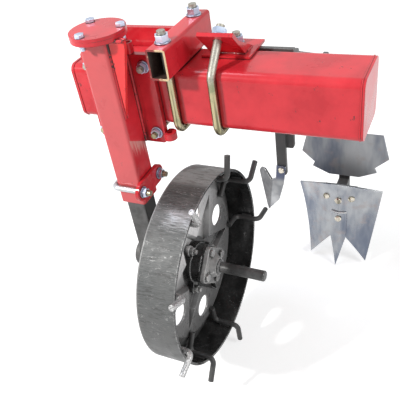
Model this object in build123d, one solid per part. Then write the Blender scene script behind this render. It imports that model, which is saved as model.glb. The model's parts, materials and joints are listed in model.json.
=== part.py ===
from build123d import *
import os
from math import cos, radians, sin, sqrt

os.makedirs("parts", exist_ok=True)

# Inter-row cultivator section: a square toolbar, a height-set ground wheel in
# front of it and a floating tool gang behind it.
# X runs along the toolbar, Y points to the rear, Z points up, millimetres.
# The origin is the centre of the toolbar's left end face.

# Clearances
slide_gap = 0.5
wrap_gap = 0.3
fit_gap = 0.08
seat_gap = 0.1
side_gap = 0.5
hole_gap = 0.5

# Toolbar
beam_size = 120.0
beam_wall = 8.0
beam_corner = 16.0
beam_length = 600.0
end_plate = 6.0

# Fastener sizes: thread radius, width over flats, head and nut heights
m10_r = 5.0
m10_flats = 16.0
m10_head = 6.5
m10_nut = 8.5
m12_r = 6.0
m12_flats = 18.0
m12_head = 8.0
m12_nut = 11.0
m12_flange_r = 12.5
m16_r = 8.0
m16_flats = 24.0
m16_nut = 13.0
m16_washer_r = 15.0
m16_washer = 3.0
nut_flange = 2.5
coach_radius = 9.5
coach_rim = 2.0
coach_dome = 3.0
thread_end = 7.0

# Leg bracket and post in front of the toolbar
leg_x = 125.0
bracket_width = 160.0
bracket_reach = 36.0
bracket_plate = 12.0
bracket_corner = 8.0
bracket_bolt_x = 62.0
bracket_bolt_clear = 6.0
post_size = 60.0
post_wall = 6.5
post_corner = 6.0
post_top = 143.0
post_bottom = -224.0
gusset_plate = 8.0
gusset_reach = 36.0
gusset_height = 160.0
gusset_lip = 12.0
gusset_set_back = 8.0
flange_radius = 54.0
flange_plate = 8.0
flange_bolt_circle = 45.0
flange_bolt_turn = 19.0
flange_bolt_end = 10.0
cap_plate = 6.0
boss_radius = 14.0
boss_reach = 8.0
boss_height = 15.0
boss_rise = 9.0
boss_bore = 6.5
socket_radius = 9.0
socket_bore = 6.2
socket_height = 22.0
socket_x = 34.0

# Clamp that holds the leg in the post
clamp_rise = 41.0
clamp_plate = 8.0
clamp_half_width = 55.0
clamp_height = 42.0
clamp_thread = 9.0

# Sliding leg and axle
bar_wall = 6.0
bar_corner = 4.0
bar_top = 90.0
axle_z = -402.0
axle_radius = 12.5
axle_reach = 284.0
axle_chamfer = 2.0
groove_width = 2.0
groove_depth = 0.8
circlip_plate = 1.8
circlip_height = 4.0
circlip_mouth = 9.0
boss_tube_radius = 32.0
ring_radius = 17.5
ring_proud = 3.0

# Ground wheel, stations along X counted from the post centre
rim_radius = 228.0
rim_wall = 6.0
rim_from = 87.0
rim_to = 174.0
web_plate = 5.0
web_face = 120.0
web_shoulder = 44.0
web_shoulder_drop = 20.0
star_depth = 12.5
star_inset = 26.0
star_root = 60.0
star_draft = 11.0
hole_inset = 21.0
hole_radius = 27.0
hole_count = 6
hole_turn = 21.6
lug_radius = 6.5
lug_count = 9
lug_turn = 33.0
lug_grip = 54.0
lug_reach = 42.0
lug_bend = 14.0
lug_overhang = 16.0
hub_radius = 46.0
hub_step = 3.0
hub_bore = 33.0
hub_barrel = 34.0
hub_square = 6.0
ear_radius = 12.0
ear_circle = 63.0
ear_plate = 11.5
ear_count = 3
ear_turn = 113.0
flange_side = 84.0
flange_side_corner = 13.0
flange_thick = 9.0
flange_pitch = 40.5
flange_turn = 2.0
neck_root = 30.0
neck_end = 21.0
neck_length = 15.0

# Cross tube lying over the toolbar
cross_x = 237.0
cross_width = 40.0
cross_height = 60.0
cross_wall = 4.0
cross_corner = 6.0
cross_front = -102.0
cross_rear = 100.0

# Brace bracket on top of the toolbar
brace_x = 324.0
brace_base = 5.0
brace_base_width = 100.0
brace_base_front = 5.0
brace_base_rear = 92.0
brace_foot_y = 20.0
brace_plate = 8.0
brace_plate_width = 72.0
brace_plate_length = 76.0
brace_gusset = 6.0
brace_gusset_rise = 50.0
brace_gusset_foot = 30.0
brace_kink_z = 56.0
brace_bend = 20.0

# Parallel linkage behind the toolbar
link_x = 390.0
link_width = 70.0
link_plate = 8.0
link_eye = 20.0
link_sleeve = 16.0
link_front_y = 97.0
link_upper_z = 20.0
link_spread = 70.0
link_run = 235.0
link_fall = 110.0
link_base_plate = 10.0
link_base_width = 104.0
cheek_plate = 10.0
pin_radius = 10.0
pin_flats = 30.0
pin_head = 9.0
pin_nut = 12.0

# Gang bar and tool holders
gang_size = 50.0
gang_wall = 5.0
gang_corner = 7.0
gang_from = 250.0
gang_to = 535.0
gang_drop = 48.0
gang_cap = 4.0
holder_plate = 12.0
holder_half = 36.0
holder_top = 55.0
holder_bottom = -160.0
holder_step = -95.0
keeper_wall = 9.0
keeper_height = 40.0
keeper_bolt_x = 26.0

# Tools
shank_width = 28.0
shank_depth = 12.0
tine_x = 300.0
tine_top = -90.0
tine_bottom = -455.0
share_plate = 6.0
share_top = -421.0
share_bolt_drop = 15.0
share_fold = 32.0
ridger_x = 480.0
ridger_bottom = -560.0
guard_plate = 4.0
guard_top = -290.0
frog_width = 88.0
frog_depth = 55.0
frog_flange = 26.0
frog_top = -440.0
frog_bottom = -550.0
wing_plate = 5.0
wing_sweep = 14.0
wing_roll = 420.0
wing_reach = 112.0
wing_top = -402.0
wing_tip = -677.0
wing_bolt_x = 34.0
wing_bolt_z = -463.0
wing_bolt_grip = 28.0
ridger_bolt_high = -468.0
ridger_bolt_low = -533.0
point_half = 22.0
point_top = -515.0
point_tip = -688.0

half = beam_size / 2


# Shape helpers
def block(x0, x1, y0, y1, z0, z1):
    centre = Pos((x0 + x1) / 2, (y0 + y1) / 2, (z0 + z1) / 2)
    return centre * Box(abs(x1 - x0), abs(y1 - y0), abs(z1 - z0))


def rod_x(radius, x0, x1, y, z):
    return extrude(Plane(origin=(x0, y, z), z_dir=(1, 0, 0)) * Circle(radius), x1 - x0)


def rod_y(radius, y0, y1, x, z):
    return extrude(Plane(origin=(x, y0, z), z_dir=(0, 1, 0)) * Circle(radius), y1 - y0)


def rod_z(radius, z0, z1, x, y):
    return extrude(Plane(origin=(x, y, z0)) * Circle(radius), z1 - z0)


def toward(origin, direction):
    return Plane(origin=origin, z_dir=direction)


def hexagon(flats):
    return RegularPolygon(flats / sqrt(3), 6)


def bolt(radius, length, flats, head):
    return extrude(hexagon(flats), -head) + extrude(Circle(radius), length)


def nut(radius, flats, height, flange_r=0.0):
    body = extrude(hexagon(flats), height)
    if flange_r > 0:
        body = body + extrude(Circle(flange_r), nut_flange)
    return body - extrude(Circle(radius + seat_gap), height)


def washer(radius, outer, height):
    return extrude(Circle(outer) - Circle(radius + hole_gap), height)


def tube_profile(width, height, wall, corner):
    outer = RectangleRounded(width, height, corner)
    inner = RectangleRounded(width - 2 * wall, height - 2 * wall, max(corner - wall, 1.0))
    return outer - inner


def bent_rod(points, radius, bend):
    path = FilletPolyline(*points, radius=bend)
    return sweep(Plane(origin=path @ 0, z_dir=path % 0) * Circle(radius), path=path)


def plate(plane, points, thickness, corner=0.0):
    face = make_face(Polyline(*points, close=True))
    if corner > 0:
        face = fillet(face.vertices(), corner)
    return extrude(plane * face, thickness)


def group(shapes):
    return Compound([solid for shape in shapes for solid in shape.solids()])


pieces = {}

# Toolbar: square tube closed by a plate at each end
beam_section = Plane.YZ.offset(end_plate) * tube_profile(beam_size, beam_size, beam_wall, beam_corner)
pieces["toolbar_beam"] = extrude(beam_section, beam_length - 2 * end_plate)
end_face = extrude(Plane.YZ * RectangleRounded(beam_size, beam_size, beam_corner), end_plate)
pieces["toolbar_end_plates"] = group([end_face, Pos(beam_length - end_plate, 0, 0) * end_face])

# Leg bracket: one plate on each side of the toolbar, drawn together by four bolts
bracket_face = half + bracket_plate
bracket_top = half + bracket_reach
bolt_z = half + m12_r + bracket_bolt_clear
bolt_spots = [(leg_x + side * bracket_bolt_x, level * bolt_z) for side in (-1, 1) for level in (-1, 1)]


def bracket_half(y_from):
    front = Plane(origin=(leg_x, y_from, 0), x_dir=(1, 0, 0), z_dir=(0, -1, 0))
    body = extrude(front * RectangleRounded(bracket_width, 2 * bracket_top, bracket_corner), bracket_plate)
    for x, z in bolt_spots:
        body = body - rod_y(m12_r + hole_gap, y_from - bracket_plate, y_from, x, z)
    return body


pieces["leg_bracket_plate"] = bracket_half(-half)
pieces["leg_bracket_rear_plate"] = bracket_half(bracket_face)
bracket_bolt = bolt(m12_r, 2 * bracket_face + m12_nut + thread_end, m12_flats, m12_head)
pieces["leg_bracket_bolts"] = group(
    [toward((x, bracket_face, z), (0, -1, 0)) * bracket_bolt for x, z in bolt_spots]
)
flange_nut = nut(m12_r, m12_flats, m12_nut, m12_flange_r)
pieces["leg_bracket_nuts"] = group(
    [toward((x, -bracket_face, z), (0, -1, 0)) * flange_nut for x, z in bolt_spots]
)

# Upright eye flat against the bracket's right edge and small socket on its top edge
plate_mid = -(half + bracket_plate / 2)
plate_edge = leg_x + bracket_width / 2
eye_x = plate_edge + boss_reach
eye_from = boss_rise - bracket_top
eye_to = eye_from + boss_height
eye = rod_z(boss_radius, eye_from, eye_to, eye_x, plate_mid)
eye = eye - rod_z(boss_bore, eye_from, eye_to, eye_x, plate_mid)
pieces["plate_side_boss"] = eye - block(
    eye_x - boss_radius, plate_edge, plate_mid - boss_radius, plate_mid + boss_radius, eye_from, eye_to
)
socket_top = bracket_top + socket_height
top_socket = rod_z(socket_radius, bracket_top, socket_top, leg_x + socket_x, plate_mid)
socket_room = rod_z(socket_bore, bracket_top, socket_top, leg_x + socket_x, plate_mid)
pieces["plate_top_socket"] = top_socket - socket_room

# Post: square tube welded to the front plate, with gusset and bolted top flange
post_y = -(bracket_face + post_size / 2)
post_section = Plane(origin=(leg_x, post_y, post_bottom)) * tube_profile(
    post_size, post_size, post_wall, post_corner
)
pieces["leg_post"] = extrude(post_section, post_top - post_bottom)
post_right = leg_x + post_size / 2
gusset_front = post_y - post_size / 2 + gusset_set_back
gusset_points = [
    (post_right, post_top - gusset_height),
    (post_right + gusset_reach, post_top - gusset_lip),
    (post_right + gusset_reach, post_top),
    (post_right, post_top),
]
gusset_plane = Plane(origin=(0, gusset_front + gusset_plate, 0), x_dir=(1, 0, 0), z_dir=(0, -1, 0))
pieces["post_gusset"] = plate(gusset_plane, gusset_points, gusset_plate)

cap_spots = [
    (
        leg_x + flange_bolt_circle * cos(radians(flange_bolt_turn + 120 * k)),
        post_y + flange_bolt_circle * sin(radians(flange_bolt_turn + 120 * k)),
    )
    for k in range(3)
]


def round_plate(z_from, thickness):
    body = rod_z(flange_radius, z_from, z_from + thickness, leg_x, post_y)
    for x, y in cap_spots:
        body = body - rod_z(m10_r + hole_gap, z_from, z_from + thickness, x, y)
    return body


cap_top = post_top + flange_plate + cap_plate
pieces["post_top_flange"] = round_plate(post_top, flange_plate)
pieces["post_cap_plate"] = round_plate(post_top + flange_plate, cap_plate)
cap_bolt = bolt(m10_r, flange_plate + cap_plate + flange_bolt_end, m10_flats, m10_head)
pieces["post_cap_bolts"] = group([toward((x, y, cap_top), (0, 0, -1)) * cap_bolt for x, y in cap_spots])

# Leg clamp: a U-bolt round the post, pulled up on an eared plate
clamp_z = post_bottom + clamp_rise
clamp_leg = post_size / 2 + m12_r + wrap_gap
clamp_face = post_right + clamp_plate
clamp_end = clamp_face + m12_nut + clamp_thread
clamp_back = leg_x - clamp_leg
clamp_path = [
    (clamp_end, post_y - clamp_leg),
    (clamp_back, post_y - clamp_leg),
    (clamp_back, post_y + clamp_leg),
    (clamp_end, post_y + clamp_leg),
]
clamp_bend = post_corner + m12_r + wrap_gap
pieces["leg_u_bolt"] = Plane.XY.offset(clamp_z) * bent_rod(clamp_path, m12_r, clamp_bend)
ear_plane = Plane(origin=(post_right, post_y, clamp_z), x_dir=(0, 1, 0), z_dir=(1, 0, 0))
ear_shape = ear_plane * SlotOverall(2 * clamp_half_width, clamp_height)
eared = extrude(ear_shape, clamp_plate)
clamp_nuts = []
for side in (-1, 1):
    leg_y = post_y + side * clamp_leg
    eared = eared - rod_x(m12_r + hole_gap, post_right, clamp_face, leg_y, clamp_z)
    clamp_nuts.append(toward((clamp_face, leg_y, clamp_z), (1, 0, 0)) * flange_nut)
pieces["leg_u_bolt_plate"] = eared
pieces["leg_u_bolt_nuts"] = group(clamp_nuts)

# Sliding leg: square tube in the post, axle boss at its foot and a fixed axle
bar_size = post_size - 2 * post_wall - 2 * slide_gap
bar_section = Plane(origin=(leg_x, post_y, axle_z)) * tube_profile(bar_size, bar_size, bar_wall, bar_corner)
leg_bar = extrude(bar_section, bar_top - axle_z)
boss_room = rod_x(boss_tube_radius + seat_gap, leg_x - bar_size, leg_x + bar_size, post_y, axle_z)
pieces["leg_bar"] = leg_bar - boss_room
barrel_end = hub_barrel + hub_square
ring_length = flange_thick + neck_length + ring_proud
boss_half = web_face - star_depth - web_plate - barrel_end - ring_length
boss_left = leg_x - boss_half
boss_right = leg_x + boss_half
axle_boss = rod_x(boss_tube_radius, boss_left, boss_right, post_y, axle_z)
pieces["axle_boss"] = axle_boss - rod_x(axle_radius + seat_gap, boss_left, boss_right, post_y, axle_z)
axle_end = leg_x + axle_reach
axle = rod_x(axle_radius, boss_left, axle_end, post_y, axle_z)
axle = chamfer(axle.edges().filter_by(GeomType.CIRCLE), axle_chamfer)
groove_from = leg_x + web_face - star_depth + barrel_end + ring_length
groove_radius = axle_radius - groove_depth
groove = rod_x(axle_radius + groove_width, groove_from, groove_from + groove_width, post_y, axle_z)
groove = groove - rod_x(groove_radius, groove_from, groove_from + groove_width, post_y, axle_z)
pieces["axle_shaft"] = axle - groove

# Spring ring in the axle's groove, open at the bottom, that keeps the bearing on
circlip_inner = groove_radius + seat_gap
circlip_end = groove_from + circlip_plate
circlip = rod_x(circlip_inner + circlip_height, groove_from, circlip_end, post_y, axle_z)
circlip = circlip - rod_x(circlip_inner, groove_from, circlip_end, post_y, axle_z)
mouth_half = circlip_mouth / 2
pieces["axle_circlip"] = circlip - block(
    groove_from, circlip_end, post_y - mouth_half, post_y + mouth_half, axle_z - 2 * axle_radius, axle_z
)

# Wheel: everything is drawn about the axle, stations measured along it
wheel_plane = Plane(origin=(leg_x, post_y, axle_z), x_dir=(0, 1, 0), z_dir=(1, 0, 0))


def spot(radius, turn):
    return (radius * cos(radians(turn)), radius * sin(radians(turn)))


def on_wheel(shape):
    return wheel_plane * shape


def disc(radius, x_from, x_to, centre=(0, 0)):
    return extrude(Plane(origin=(centre[0], centre[1], x_from)) * Circle(radius), x_to - x_from)


rim_inner = rim_radius - rim_wall
pieces["wheel_rim"] = on_wheel(disc(rim_radius, rim_from, rim_to) - disc(rim_inner, rim_from, rim_to))

# Pressed web: flat raised panels round a recessed star, shoulder running back to the rim
web_outer = rim_inner - seat_gap
web_flat_radius = rim_inner - web_shoulder
star_tip = web_flat_radius - star_inset
hole_circle = star_tip - hole_inset
web_back = rim_from - web_shoulder_drop - star_depth - 2 * web_plate
web_points = [
    (0, web_back),
    (web_outer, web_back),
    (web_outer, web_face - web_shoulder_drop),
    (web_flat_radius, web_face),
    (0, web_face),
]


def star(tip, root):
    turns = [hole_turn + 30 * k for k in range(12)]
    return Polygon(*[spot(root if k % 2 == 0 else tip, turn) for k, turn in enumerate(turns)], align=None)


form = revolve(Plane.XZ * make_face(Polyline(*web_points, close=True)), Axis.Z)
star_wide = Plane.XY.offset(web_face) * star(star_tip + star_draft, star_root + star_draft)
star_deep = Plane.XY.offset(web_face - star_depth) * star(star_tip, star_root)
form = form - loft([star_wide, star_deep], ruled=True)
web = form - Pos(0, 0, -web_plate) * form
web = web - disc(hub_bore, web_back, web_face)
for k in range(hole_count):
    web = web - disc(hole_radius, web_back, web_face, spot(hole_circle, hole_turn + 60 * k))
ear_spots = [spot(ear_circle, ear_turn + 360 / ear_count * k) for k in range(ear_count)]
for centre in ear_spots:
    web = web - disc(m10_r + hole_gap, web_back, web_face, centre)
pieces["wheel_web"] = on_wheel(web)

# Lugs: bent rods footed on the web, run along the rim and turned out as spikes
lug_low = web_face + lug_radius
lug_run = rim_inner - lug_radius - seat_gap
lug_foot = rim_inner - lug_grip
lug_tip = rim_radius + lug_reach
lug_station = rim_to + lug_overhang
lug_points = [(lug_foot, lug_low), (lug_run, lug_low), (lug_run, lug_station), (lug_tip, lug_station)]
lug = Plane.XZ * bent_rod(lug_points, lug_radius, lug_bend)
pieces["wheel_lugs"] = group([on_wheel(Rot(Z=lug_turn + 360 / lug_count * k) * lug) for k in range(lug_count)])

# Hub: two barrels bolted through the web, each closed by a square bearing flange
star_face = web_face - star_depth
star_rear = star_face - web_plate
flange_spots = [spot(flange_pitch, flange_turn + 90 * k) for k in range(4)]
square_turn = flange_turn + 45


def square_flange(x_from, thickness):
    face = Rot(Z=square_turn) * RectangleRounded(flange_side, flange_side, flange_side_corner)
    body = extrude(Plane.XY.offset(x_from) * face, thickness)
    for centre in flange_spots:
        body = body - disc(m10_r + hole_gap, x_from, x_from + thickness, centre)
    return body


barrel = disc(hub_radius, 0, hub_barrel) + square_flange(hub_barrel, hub_square)
barrel = barrel + disc(hub_radius + hub_step, 0, ear_plate)
for k, centre in enumerate(ear_spots):
    arm = Rot(Z=ear_turn + 360 / ear_count * k) * Pos(ear_circle / 2, 0) * Rectangle(ear_circle, 2 * ear_radius)
    barrel = barrel + extrude(arm, ear_plate) + disc(ear_radius, 0, ear_plate, centre)
barrel = barrel - disc(hub_bore, 0, hub_barrel + hub_square)
for centre in ear_spots:
    barrel = barrel - disc(m10_r + hole_gap, 0, ear_plate, centre)

bearing_bore = ring_radius + fit_gap
bearing = square_flange(0, flange_thick)
neck = extrude(Plane.XY.offset(flange_thick) * Circle(neck_root), neck_length)
neck_cut = neck - loft(
    [Plane.XY.offset(flange_thick) * Circle(neck_root), Plane.XY.offset(flange_thick + neck_length) * Circle(neck_end)]
)
bearing = bearing + (neck - neck_cut)
bearing = bearing - disc(bearing_bore, 0, flange_thick + neck_length)
flange_bolt = bolt(m10_r, flange_thick + hub_square, m10_flats, m10_head)
inner_ring = disc(ring_radius, 0, ring_length) - disc(axle_radius + seat_gap, 0, ring_length)


def outward(shape):
    return on_wheel(Pos(0, 0, star_face) * shape)


def inward(shape):
    return on_wheel(Pos(0, 0, star_rear) * mirror(shape, Plane.XY))


pieces["hub_barrel_outer"] = outward(barrel)
pieces["hub_barrel_inner"] = inward(barrel)
pieces["bearing_flange_outer"] = outward(Pos(0, 0, barrel_end) * bearing)
pieces["bearing_flange_inner"] = inward(Pos(0, 0, barrel_end) * bearing)
heads = [
    toward((x, y, barrel_end + flange_thick), (0, 0, -1)) * flange_bolt
    for x, y in flange_spots
]
pieces["bearing_flange_bolts"] = group([outward(head) for head in heads] + [inward(head) for head in heads])
ring_seat = Pos(0, 0, barrel_end) * inner_ring
pieces["bearing_inner_rings"] = group([outward(ring_seat), inward(ring_seat)])
ear_bolt = bolt(m10_r, 2 * ear_plate + web_plate + m10_nut + thread_end, m10_flats, m10_head)
ear_nut = nut(m10_r, m10_flats, m10_nut)
pieces["hub_ear_bolts"] = group(
    [on_wheel(Pos(x, y, star_rear - ear_plate) * ear_bolt) for x, y in ear_spots]
)
pieces["hub_ear_nuts"] = group([on_wheel(Pos(x, y, star_face + ear_plate) * ear_nut) for x, y in ear_spots])

# Cross tube over the toolbar, held down by a U-bolt through its walls
cross_mid_z = half + cross_height / 2
cross_top = half + cross_height
u_leg = half + m16_r + wrap_gap
cross_plane = Plane(origin=(cross_x, cross_front, cross_mid_z), x_dir=(-1, 0, 0), z_dir=(0, 1, 0))
cross = extrude(
    cross_plane * tube_profile(cross_width, cross_height, cross_wall, cross_corner), cross_rear - cross_front
)
for side in (-1, 1):
    cross = cross - rod_z(m16_r + hole_gap, half, cross_top, cross_x, side * u_leg)
pieces["cross_tube"] = cross
u_bend = beam_corner + m16_r + wrap_gap
u_top = cross_top + m16_washer + m16_nut + thread_end
u_path = [(-u_leg, u_top), (-u_leg, -u_leg), (u_leg, -u_leg), (u_leg, u_top)]
pieces["cross_tube_u_bolt"] = Plane.YZ.offset(cross_x) * bent_rod(u_path, m16_r, u_bend)
big_washer = washer(m16_r, m16_washer_r, m16_washer)
big_nut = nut(m16_r, m16_flats, m16_nut)
cross_seats = [toward((cross_x, side * u_leg, cross_top), (0, 0, 1)) for side in (-1, 1)]

# Brace bracket: base plate, plate leaning forward and two gussets, held by a kinked U-bolt
base_top = half + brace_base
base_left = brace_x - brace_base_width / 2
base_right = brace_x + brace_base_width / 2
base = block(base_left, base_right, brace_base_front, brace_base_rear, half, base_top)
pieces["brace_base_plate"] = base - rod_z(m16_r + hole_gap, half, base_top, brace_x, u_leg)
lean = sqrt(0.5)
reach = (brace_foot_y - (-u_leg) + (base_top - brace_kink_z)) * lean
hole_y = -u_leg + reach * lean
hole_z = brace_kink_z + reach * lean
thick_y = brace_plate / lean
inclined_points = [
    (brace_foot_y, base_top),
    (brace_foot_y - brace_plate_length * lean, base_top + brace_plate_length * lean),
    (
        brace_foot_y - brace_plate_length * lean + brace_plate * lean,
        base_top + brace_plate_length * lean + brace_plate * lean,
    ),
    (brace_foot_y + thick_y, base_top),
]
lean_plane = Plane.YZ.offset(brace_x - brace_plate_width / 2)
inclined = plate(lean_plane, inclined_points, brace_plate_width)
leg_hole = extrude(toward((brace_x, hole_y, hole_z), (0, 1, 1)) * Circle(m16_r + hole_gap), brace_plate, both=True)
pieces["brace_inclined_plate"] = inclined - leg_hole
gusset_foot = brace_foot_y + thick_y
brace_gusset_points = [
    (gusset_foot, base_top),
    (gusset_foot - brace_gusset_rise * lean, base_top + brace_gusset_rise * lean),
    (gusset_foot + brace_gusset_foot, base_top),
]
brace_sides = [brace_x - brace_plate_width / 2, brace_x + brace_plate_width / 2 - brace_gusset]
pieces["brace_gussets"] = group(
    [plate(Plane.YZ.offset(x), brace_gusset_points, brace_gusset) for x in brace_sides]
)
brace_grip = reach + brace_plate + m16_washer + m16_nut + thread_end
brace_top = base_top + m16_washer + m16_nut + thread_end
front_part = FilletPolyline(
    (-u_leg + brace_grip * lean, brace_kink_z + brace_grip * lean),
    (-u_leg, brace_kink_z),
    (-u_leg, 0),
    radius=brace_bend,
)
rear_part = FilletPolyline((-u_leg, 0), (-u_leg, -u_leg), (u_leg, -u_leg), (u_leg, brace_top), radius=u_bend)
brace_path = Wire(front_part.edges() + rear_part.edges())
brace_start = Plane(origin=brace_path @ 0, z_dir=brace_path % 0)
pieces["brace_u_bolt"] = Plane.YZ.offset(brace_x) * sweep(brace_start * Circle(m16_r), path=brace_path)
brace_seats = [
    toward((brace_x, u_leg, base_top), (0, 0, 1)),
    toward((brace_x, hole_y + brace_plate * lean, hole_z + brace_plate * lean), (0, 1, 1)),
]
u_seats = cross_seats + brace_seats
pieces["u_bolt_washers"] = group([seat * big_washer for seat in u_seats])
pieces["u_bolt_nuts"] = group([seat * (Pos(0, 0, m16_washer) * big_nut) for seat in u_seats])

# Linkage bracket welded to the rear of the toolbar
front_upper = (link_front_y, link_upper_z)
front_lower = (link_front_y, link_upper_z - link_spread)
rear_upper = (link_front_y + link_run, link_upper_z - link_fall)
rear_lower = (link_front_y + link_run, link_upper_z - link_spread - link_fall)
base_rear = half + link_base_plate
link_left = link_x - link_width / 2
link_right = link_x + link_width / 2
cheek_starts = [link_left - side_gap - cheek_plate, link_right + side_gap]
pieces["link_base_plate"] = block(
    link_x - link_base_width / 2, link_x + link_base_width / 2, half, base_rear, -half, half
)


def cheek(outline, pins):
    bodies = []
    for x in cheek_starts:
        body = plate(Plane.YZ.offset(x), outline, cheek_plate, link_eye / 2)
        for y, z in pins:
            body = body - rod_x(pin_radius + seat_gap, x, x + cheek_plate, y, z)
        bodies.append(body)
    return group(bodies)


front_outline = [
    (base_rear, front_upper[1] + link_eye + 10),
    (front_upper[0] + link_eye, front_upper[1] + link_eye),
    (front_lower[0] + link_eye, front_lower[1] - link_eye),
    (base_rear, front_lower[1] - link_eye + 10),
]
pieces["link_front_cheeks"] = cheek(front_outline, [front_upper, front_lower])


def pin_set(spots):
    left = cheek_starts[0]
    right = cheek_starts[1] + cheek_plate
    solids = []
    for y, z in spots:
        pin = bolt(pin_radius, right - left + pin_nut + thread_end, pin_flats, pin_head)
        solids.append(toward((left, y, z), (1, 0, 0)) * pin)
        solids.append(toward((right, y, z), (1, 0, 0)) * nut(pin_radius, pin_flats, pin_nut))
    return group(solids)


pieces["link_front_pins"] = pin_set([front_upper, front_lower])
pieces["link_rear_pins"] = pin_set([rear_upper, rear_lower])


# Links: two side plates joined by a sleeve at each end
def link(front, rear):
    length = sqrt((rear[0] - front[0]) ** 2 + (rear[1] - front[1]) ** 2)
    along = Plane(
        origin=(link_left, front[0], front[1]),
        x_dir=(0, rear[0] - front[0], rear[1] - front[1]),
        z_dir=(1, 0, 0),
    )
    blade = Pos(length / 2, 0) * SlotOverall(length + 2 * link_eye, 2 * link_eye)
    body = extrude(along * blade, link_plate)
    body = body + extrude(along.offset(link_width - link_plate) * blade, link_plate)
    for y, z in (front, rear):
        body = body + rod_x(link_sleeve, link_left, link_right, y, z)
    for y, z in (front, rear):
        body = body - rod_x(pin_radius + fit_gap, link_left, link_right, y, z)
    return body


pieces["upper_link"] = link(front_upper, rear_upper)
pieces["lower_link"] = link(front_lower, rear_lower)

# Gang: cheeks on the rear pins carry a square tool bar
holder_face = rear_upper[0] + link_eye + 15
gang_front = holder_face + holder_plate
gang_mid_y = gang_front + gang_size / 2
gang_mid_z = rear_lower[1] - gang_drop
gang_top = gang_mid_z + gang_size / 2
gang_plane = Plane(origin=(gang_from, gang_mid_y, gang_mid_z), x_dir=(0, 1, 0), z_dir=(1, 0, 0))
gang_bar = extrude(gang_plane * tube_profile(gang_size, gang_size, gang_wall, gang_corner), gang_to - gang_from)
gang_cap_face = extrude(gang_plane * RectangleRounded(gang_size, gang_size, gang_corner), gang_cap)
cap_starts = [-gang_cap, gang_to - gang_from]
pieces["gang_end_caps"] = group([Pos(x, 0, 0) * gang_cap_face for x in cap_starts])
rear_outline = [
    (rear_upper[0] - link_eye, rear_upper[1] + link_eye),
    (rear_upper[0] + link_eye, rear_upper[1] + link_eye),
    (gang_front + gang_size, gang_top + 30),
    (gang_front + gang_size, gang_top),
    (gang_front - 4, gang_top),
    (rear_lower[0] - link_eye, rear_lower[1] - link_eye),
]
pieces["gang_cheeks"] = cheek(rear_outline, [rear_upper, rear_lower])

# Tool holders on the gang bar: backing plate, keeper over the shank and two long bolts
shank_front = holder_face - shank_depth
keeper_face = shank_front - keeper_wall
shank_half = shank_width / 2
holders = []
keepers = []
keeper_bolts = []
for tool_x in (tine_x, ridger_x):
    holder_plane = Plane(
        origin=(tool_x, gang_front, gang_mid_z), x_dir=(1, 0, 0), z_dir=(0, -1, 0)
    )
    outline = [
        (-holder_half, holder_top),
        (holder_half, holder_top),
        (holder_half, holder_bottom),
        (-shank_half, holder_bottom),
        (-shank_half, holder_step - holder_half + shank_half),
        (-holder_half, holder_step),
    ]
    holder = plate(holder_plane, outline, holder_plate, 8.0)
    low = gang_mid_z - keeper_height / 2
    high = gang_mid_z + keeper_height / 2
    keeper = block(tool_x - holder_half, tool_x + holder_half, keeper_face, holder_face, low, high)
    keeper = fillet(keeper.edges().filter_by(Axis.Z).sort_by(Axis.Y)[:2], keeper_wall / 2)
    keeper = keeper - block(
        tool_x - shank_half - slide_gap,
        tool_x + shank_half + slide_gap,
        shank_front - slide_gap,
        holder_face,
        low,
        high,
    )
    for side in (-1, 1):
        x = tool_x + side * keeper_bolt_x
        room = rod_y(m10_r + hole_gap, keeper_face, gang_front + gang_size, x, gang_mid_z)
        holder = holder - room
        keeper = keeper - room
        gang_bar = gang_bar - room
        grip = gang_front + gang_size - keeper_face
        long_bolt = bolt(m10_r, grip + m10_nut + thread_end, m10_flats, m10_head)
        keeper_bolts.append(toward((x, keeper_face, gang_mid_z), (0, 1, 0)) * long_bolt)
        keeper_bolts.append(
            toward((x, gang_front + gang_size, gang_mid_z), (0, 1, 0)) * nut(m10_r, m10_flats, m10_nut)
        )
    holders.append(holder)
    keepers.append(keeper)
pieces["gang_bar"] = gang_bar
pieces["tool_holders"] = group(holders)
pieces["tool_keepers"] = group(keepers)
pieces["tool_keeper_bolts"] = group(keeper_bolts)


# Tool shanks: flat bars with a rounded foot
def shank(x, top, bottom):
    plane = Plane(origin=(x, holder_face, 0), x_dir=(1, 0, 0), z_dir=(0, -1, 0))
    outline = [(-shank_half, bottom), (shank_half, bottom), (shank_half, top), (-shank_half, top)]
    return plate(plane, outline, shank_depth, 5.0)


def coach_head():
    rim = extrude(Circle(coach_radius), -coach_rim)
    return rim + extrude(Plane.XY.offset(-coach_rim) * Circle(coach_radius), -coach_dome, taper=40)


def coach_bolt(x, z, face, grip):
    solid = coach_head() + extrude(Circle(m10_r), grip + m10_nut + thread_end)
    return toward((x, face, z), (0, 1, 0)) * solid


def shank_nut(x, z):
    return toward((x, holder_face, z), (0, 1, 0)) * nut(m10_r, m10_flats, m10_nut)


# Tine with a creased share: a front facet on the shank and a wing folded back on its left
share_bolt_z = share_top - share_bolt_drop
tine_hole = rod_y(m10_r + hole_gap, shank_front - share_plate, holder_face, tine_x, share_bolt_z)
pieces["tine_shank"] = shank(tine_x, tine_top, tine_bottom) - tine_hole
share_plane = Plane(origin=(tine_x, shank_front, share_top), x_dir=(1, 0, 0), z_dir=(0, -1, 0))
crease_top = (-32.0, -54.0)
crease_tip = (-47.0, -166.0)
facet_points = [(-shank_half, 0), (shank_half, -3), (4, -66), (-12, -124), crease_tip, crease_top, (-18, -45)]
facet = plate(share_plane, facet_points, share_plate)
crease_from = share_plane.from_local_coords(Vector(crease_top[0], crease_top[1], share_plate))
crease_to = share_plane.from_local_coords(Vector(crease_tip[0], crease_tip[1], share_plate))
wing_points = [crease_top, crease_tip, (-54, -152), (-88, -44), (-80, -31), (-64, -29)]
fold = plate(share_plane, wing_points, share_plate)
crease_axis = Axis(crease_from, crease_to - crease_from)
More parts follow.
